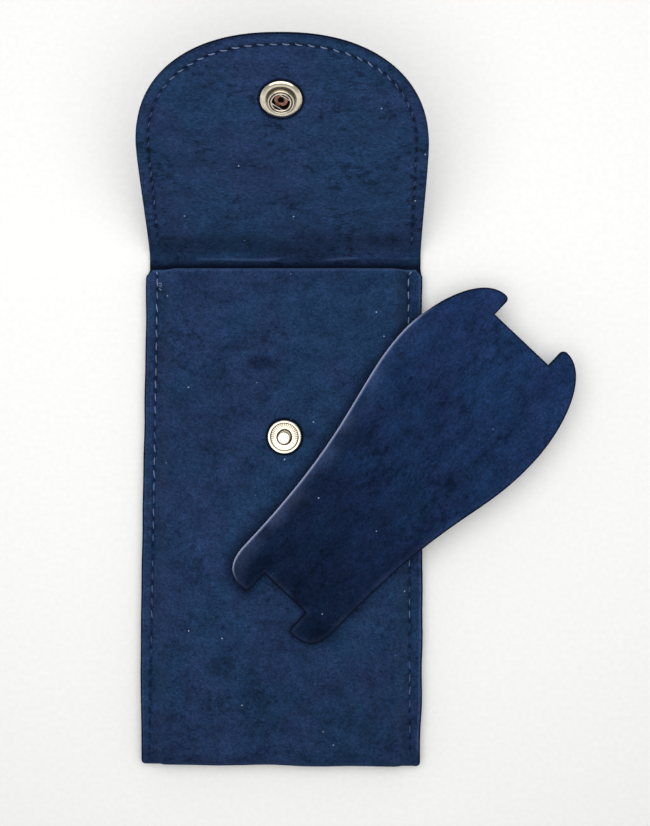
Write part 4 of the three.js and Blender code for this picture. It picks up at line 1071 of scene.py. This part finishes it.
def suede_finish(name, suede, colours, streak, clouds, flecks, shade_ring_at=None, fall=None):
    """Suede: leather split and sanded to a short nap. It is matt with a faint bluish sheen. Its hue drifts between
    teal and violet where the nap lies differently, fibre ends speckle it, dark flecks mark where it is matted, and
    dust sits on it. It is dark at cut edges, with their dye and painted shade, and darkened by painted shade in needle
    holes, round the fold, at the pocket's mouth, round the fastener's discs and beside the insert. It is hazy beside an
    edge, where the nap stands up a little, and pale where it stands right up, both partly painted highlight.
    streak under 1 draws the speckle out across the sheet, clouds and flecks are how strong those are, shade_ring_at is
    where and how wide the disc is that has a ring of painted shade round it, and fall the shades along the insert."""
    teal, violet, pale = colours
    material, tree, shader = new_finish(
        name, Roughness=0.95, Specular_IOR_Level=0.02, Sheen_Weight=0.06, Sheen_Roughness=0.6,
        Sheen_Tint=(0.4, 0.58, 1.0))
    sheet = add(tree, "Attribute", output="Vector", attribute_name="sheet")
    drawn = add(tree, "Mapping", {"Vector": sheet, "Scale": (streak, 1.0, 1.0)})
    mottle, grain = suede.mottle / MM, suede.grain / MM
    noises = {}
    for pattern, place, size, detail, rough in (
            ("drift", sheet, 3.4 * mottle, 4.0, 0.6), ("patch", drawn, mottle, 5.0, 0.65),
            ("speck", drawn, grain, 2.0, 0.7), ("fibre", sheet, 0.62 * grain, 1.0, 0.5),
            ("fleck", drawn, 3.0 * grain, 5.0, 0.7), ("matted", sheet, 2.0 * mottle, 3.0, 0.5)):
        noises[pattern] = add(
            tree, "TexNoise", {"Vector": place, "Scale": per(size), "Detail": detail, "Roughness": rough})
    matted = add(tree, "Math", {0: noises["matted"], 1: 0.6, 2: noises["fleck"]}, operation="MULTIPLY_ADD")
    lint = add(tree, "TexVoronoi", {"Vector": sheet, "Scale": per(LINT_SPACING)}, "Distance")
    light, dark = (add(tree, "Attribute", output="Fac", attribute_name=mark) for mark in ("light", "dark"))
    # Painted shade: a dark ring on the suede round the fastener's disc.
    if shade_ring_at:
        centre, radius = shade_ring_at
        away = add(tree, "VectorMath", {0: sheet, 1: centre}, "Value", operation="DISTANCE")
        near, far = ((radius + rim) * MM for rim in SHADE_RING_REACH)
        ring = add(tree, "MapRange", {"Value": away, "From Min": near, "From Max": far, "To Min": 0.96, "To Max": 0.0})
        dark = add(tree, "Math", {0: dark, 1: ring}, operation="MAXIMUM")
    # The light mark's faint values brighten the colour, as nap haze and painted highlight; its strong ones blend to
    # pale further on.
    lean, *shades, nap_haze_and_highlight, dust = (
        add(tree, "MapRange", {"Value": value, "From Min": low, "From Max": high, "To Min": least, "To Max": most})
        for value, low, high, least, most in (
            (noises["drift"], 0.43, 0.57, 0.0, 1.0),
            (noises["patch"], 0.3, 0.7, 1 - clouds, 1 + clouds),
            (noises["fleck"], 0.3, 0.7, 0.86, 1.15),
            (noises["speck"], 0.3, 0.7, 0.65, 1.36),
            (noises["fibre"], 0.6, 0.74, 1.0, 1.7),
            (matted, 0.65, 0.7, 1 - flecks, 1.0),
            (light, 0.0, 0.05, 1.0, 1.5),
            (lint, 0.02, 0.042, 0.7, 0.0)))
    if fall:
        along = add(tree, "SeparateXYZ", {0: sheet})
        share = add(tree, "Math", {0: along, 1: INSERT_LENGTH * MM}, operation="DIVIDE")
        shades.append(add(tree, "ValToRGB", {0: share}))
        stops = shades[-1].node.color_ramp.elements
        stops.new(0.5)
        for stop, (place, level) in zip(stops, fall):
            stop.position = place
            stop.color = (level, level, level, 1)
    layers = [(lean, teal, "MIX"), *((1.0, shade, "MULTIPLY") for shade in (*shades, nap_haze_and_highlight)), (light, pale, "MIX"),
              (dark, linear(DARK_DYE_AND_SHADE), "MIX"), (dust, linear(DUST), "MIX")]
    coat(tree, shader, violet, layers, (noises["speck"], 0.5, 0.22), (noises["patch"], 0.3, 0.5))
    return material


def sheet_nap(slot, suede):
    """The finish of the outer sheet, a shade darker, or of the lining, more streaky and matted, each with a ring of
    painted shade round its half of the fastener."""
    name = slot.replace("suede", "nap")
    if name in bpy.data.materials:
        return bpy.data.materials[name]
    socket = -strip_length(LINING_PROUD) - FOLD_LENGTH - SOCKET_ALONG
    shade, looks, shade_ring_at, layer, radius = {
        "outer_nap": (0.92, (0.85, 0.3, 0.25), STUD_Y - MOUTH_Y, OUTER_LAYER, STUD_RADIUS),
        "lining_nap": (0.95, (0.6, 0.26, 0.42), socket, LINING_LAYER, SOCKET_RADIUS)}[name]
    colours = (shade * np.array(suede.teal), shade * np.array(suede.violet), suede.pale)
    return suede_finish(name, suede, colours, *looks, ((0, shade_ring_at * MM, layer * MM), radius))


def insert_nap(suede):
    """The insert's finish, darker towards its narrow end."""
    fall = ((0.0, 0.34), (0.48, 0.66), (0.9, 1.0))
    colours = (suede.insert_teal, suede.insert_violet, suede.insert_pale)
    return suede_finish("insert_nap", suede, colours, 0.65, 0.38, 0.3, fall=fall)


def thread_finish(sewing):
    """Twisted polyester thread: two plies with a silky gloss; stitches that lie deep are painted darker, partly for the
    nap over them and partly as painted shade, and proud ones lighter, as painted highlight.
    """
    material, tree, shader = new_finish("polyester_thread", Roughness=0.55, Specular_IOR_Level=0.3)
    tone = add(tree, "Attribute", output="Fac", attribute_name="tone")
    place = add(tree, "Attribute", output="Vector", attribute_name="sheet")
    fibre = add(tree, "TexNoise", {"Vector": place, "Scale": per(0.3), "Detail": 2.0})
    shade = add(tree, "MapRange", {"Value": fibre, "To Min": 0.5, "To Max": 1.4})
    layers = [(tone, sewing.thread, "MIX"), (1.0, shade, "MULTIPLY")]
    coat(tree, shader, sewing.sunk_thread, layers, (fibre, 0.4, 0.05))
    return material


def metal_finish(name, colour, roughness, dirt_and_shade):
    """Plated or drawn metal: bright, with handling scratches that vary the gloss, faint clouds of tarnish, and dark
    dull recesses, partly oxide and partly painted shade in the hollows, grooves and gaps."""
    material, tree, shader = new_finish(name, Metallic=1.0)
    place = add(tree, "TexCoord", output="Object")
    cloud = add(tree, "TexNoise", {"Vector": place, "Scale": per(2.4), "Detail": 4.0})
    bright = add(tree, "MapRange", {"Value": cloud, "From Min": 0.35, "From Max": 0.62})
    drawn = add(tree, "Mapping", {"Vector": place, "Scale": (1.0, 8.0, 8.0)})
    scratch = add(tree, "TexNoise", {"Vector": drawn, "Scale": per(1.2), "Detail": 3.0})
    gloss = add(tree, "MapRange", {"Value": scratch, "To Min": roughness * 0.7, "To Max": roughness * 1.5})
    recess = add(tree, "Attribute", output="Fac", attribute_name="dirt_and_shade")
    dull = add(tree, "Math", {0: recess, 1: 0.45, 2: gloss}, operation="MULTIPLY_ADD")
    feed(tree, shader, {"Roughness": dull})
    tarnished = [0.8 * channel for channel in colour]
    coat(tree, shader, tarnished, [(bright, colour, "MIX"), (recess, dirt_and_shade, "MIX")], (scratch, 0.05, 0.05))
    return material


def board_finish(colour):
    """Pressed paper board: its cut edge is pale, matt and fibrous, in thin layers. It is painted dark, as painted
    shade, all round except on the insert's upper left, where the pale edge is left lit."""
    material, tree, shader = new_finish("pressed_board", Roughness=0.9, Specular_IOR_Level=0.2)
    place = add(tree, "TexCoord", output="Object")
    pressed = add(tree, "Mapping", {"Vector": place, "Scale": (1.0, 1.0, 6.0)})
    fibre = add(tree, "TexNoise", {"Vector": pressed, "Scale": per(0.9), "Detail": 4.0})
    shade = add(tree, "MapRange", {"Value": fibre, "To Min": 0.7, "To Max": 1.25})
    painted_board_shade = add(tree, "Attribute", output="Fac", attribute_name="dark")
    coat(tree, shader, colour, [(painted_board_shade, linear(BOARD_EDGE_SHADE), "MIX"), (1.0, shade, "MULTIPLY")], (fibre, 0.4, 0.1))
    return material


def table_finish(colour):
    """Pale laminate: matt, with a faint fine grain."""
    material, tree, shader = new_finish("pale_laminate", Roughness=0.7, Specular_IOR_Level=0.2)
    place = add(tree, "TexCoord", output="Object")
    grain = add(tree, "TexNoise", {"Vector": place, "Scale": per(1.5), "Detail": 2.0})
    shade = add(tree, "MapRange", {"Value": grain, "To Min": 0.96, "To Max": 1.04})
    coat(tree, shader, colour, [(1.0, shade, "MULTIPLY")])
    return material


# Stage


def make_stage(stage):
    """A pale table, a wide round lamp overhead, light all round that is brightest near the horizon, and the camera
    straight over the pouch."""
    corners = np.array([[-1, -1, 0], [1, -1, 0], [1, 1, 0], [-1, 1, 0]]) * FLOOR_REACH / MM
    new_object("floor", corners, np.array([[0, 1, 2, 3]]), table_finish(stage.table))
    lamp = bpy.data.lights.new("overhead_lamp", "AREA")
    lamp.shape = "DISK"
    lamp.size = LAMP_SIZE
    lamp.energy = stage.lamp
    linked("overhead_lamp", lamp).location = LAMP_PLACE
    scene = bpy.context.scene
    scene.world = bpy.data.worlds.new("room")
    scene.world.use_nodes = True
    tree = scene.world.node_tree
    height = add(tree, "SeparateXYZ", {0: add(tree, "TexCoord", output="Generated")}, 2)
    (low, high), (bright, dim) = SKY_HEIGHTS, SKY_LEVELS
    glow = add(tree, "MapRange", {
        "Value": height, "From Min": low, "From Max": high, "To Min": bright * stage.sky, "To Max": dim * stage.sky})
    feed(tree, tree.nodes["Background"], {"Strength": glow, "Color": (1, 1, 1)})
    camera = bpy.data.cameras.new("camera")
    camera.lens = CAMERA_LENS
    camera.sensor_width = CAMERA_SENSOR
    camera.clip_start = 0.01
    scene.camera = linked("camera", camera)
    scene.camera.location = CAMERA_PLACE
    scene.view_settings.view_transform = "Standard"


# Sidebar


class POUCH_OT_stage(bpy.types.Operator):
    """Make the table, the lamps and the camera"""
    bl_idname = "pouch.stage"
    bl_label = "Stage"

    def execute(self, context):
        make_stage(context.scene.pouch_stage)
        return {"FINISHED"}


class POUCH_OT_body(bpy.types.Operator):
    """Make the body's outer suede and lining"""
    bl_idname = "pouch.body"
    bl_label = "Body"

    def execute(self, context):
        make_body(context.scene.pouch_suede, context.scene.pouch_stitches)
        return {"FINISHED"}


class POUCH_OT_flap(bpy.types.Operator):
    """Make the flap's outer suede and lining with their bend"""
    bl_idname = "pouch.flap"
    bl_label = "Flap"

    def execute(self, context):
        make_flap(context.scene.pouch_suede, context.scene.pouch_stitches)
        return {"FINISHED"}


class POUCH_OT_stitches(bpy.types.Operator):
    """Make the stitches of the three seams"""
    bl_idname = "pouch.stitches"
    bl_label = "Stitches"

    def execute(self, context):
        make_stitches(context.scene.pouch_stitches)
        return {"FINISHED"}


class POUCH_OT_fastener(bpy.types.Operator):
    """Make the press fastener"""
    bl_idname = "pouch.fastener"
    bl_label = "Press fastener"

    def execute(self, context):
        make_fastener(context.scene.pouch_fastener)
        return {"FINISHED"}


class POUCH_OT_insert(bpy.types.Operator):
    """Make the watch insert"""
    bl_idname = "pouch.insert"
    bl_label = "Insert"

    def execute(self, context):
        make_insert(context.scene.pouch_insert, context.scene.pouch_suede)
        return {"FINISHED"}


GROUPS = {
    "pouch_stage": PouchStage,
    "pouch_suede": PouchSuede,
    "pouch_stitches": PouchStitches,
    "pouch_fastener": PouchFastener,
    "pouch_insert": PouchInsert,
}
OPERATORS = (POUCH_OT_stage, POUCH_OT_body, POUCH_OT_flap, POUCH_OT_stitches, POUCH_OT_fastener, POUCH_OT_insert)


class POUCH_PT_panel(bpy.types.Panel):
    """Sizes and colours of the pouch, and the buttons that make its pieces"""
    bl_label = "Suede watch pouch"
    bl_idname = "POUCH_PT_panel"
    bl_space_type = "VIEW_3D"
    bl_region_type = "UI"
    bl_category = "Pouch"

    def draw(self, context):
        for name, group in GROUPS.items():
            box = self.layout.box()
            for field in group.__annotations__:
                box.prop(getattr(context.scene, name), field)
        for operator in OPERATORS:
            self.layout.operator(operator.bl_idname)


def register():
    for made in (*GROUPS.values(), *OPERATORS, POUCH_PT_panel):
        bpy.utils.register_class(made)
    for name, group in GROUPS.items():
        setattr(bpy.types.Scene, name, bpy.props.PointerProperty(type=group))


def unregister():
    for name in GROUPS:
        delattr(bpy.types.Scene, name)
    for made in (POUCH_PT_panel, *OPERATORS, *GROUPS.values()):
        bpy.utils.unregister_class(made)


def main():
    register()
    bpy.ops.pouch.stage()
    bpy.ops.pouch.body()
    bpy.ops.pouch.flap()
    bpy.ops.pouch.stitches()
    bpy.ops.pouch.fastener()
    bpy.ops.pouch.insert()


if __name__ == "__main__":
    main()
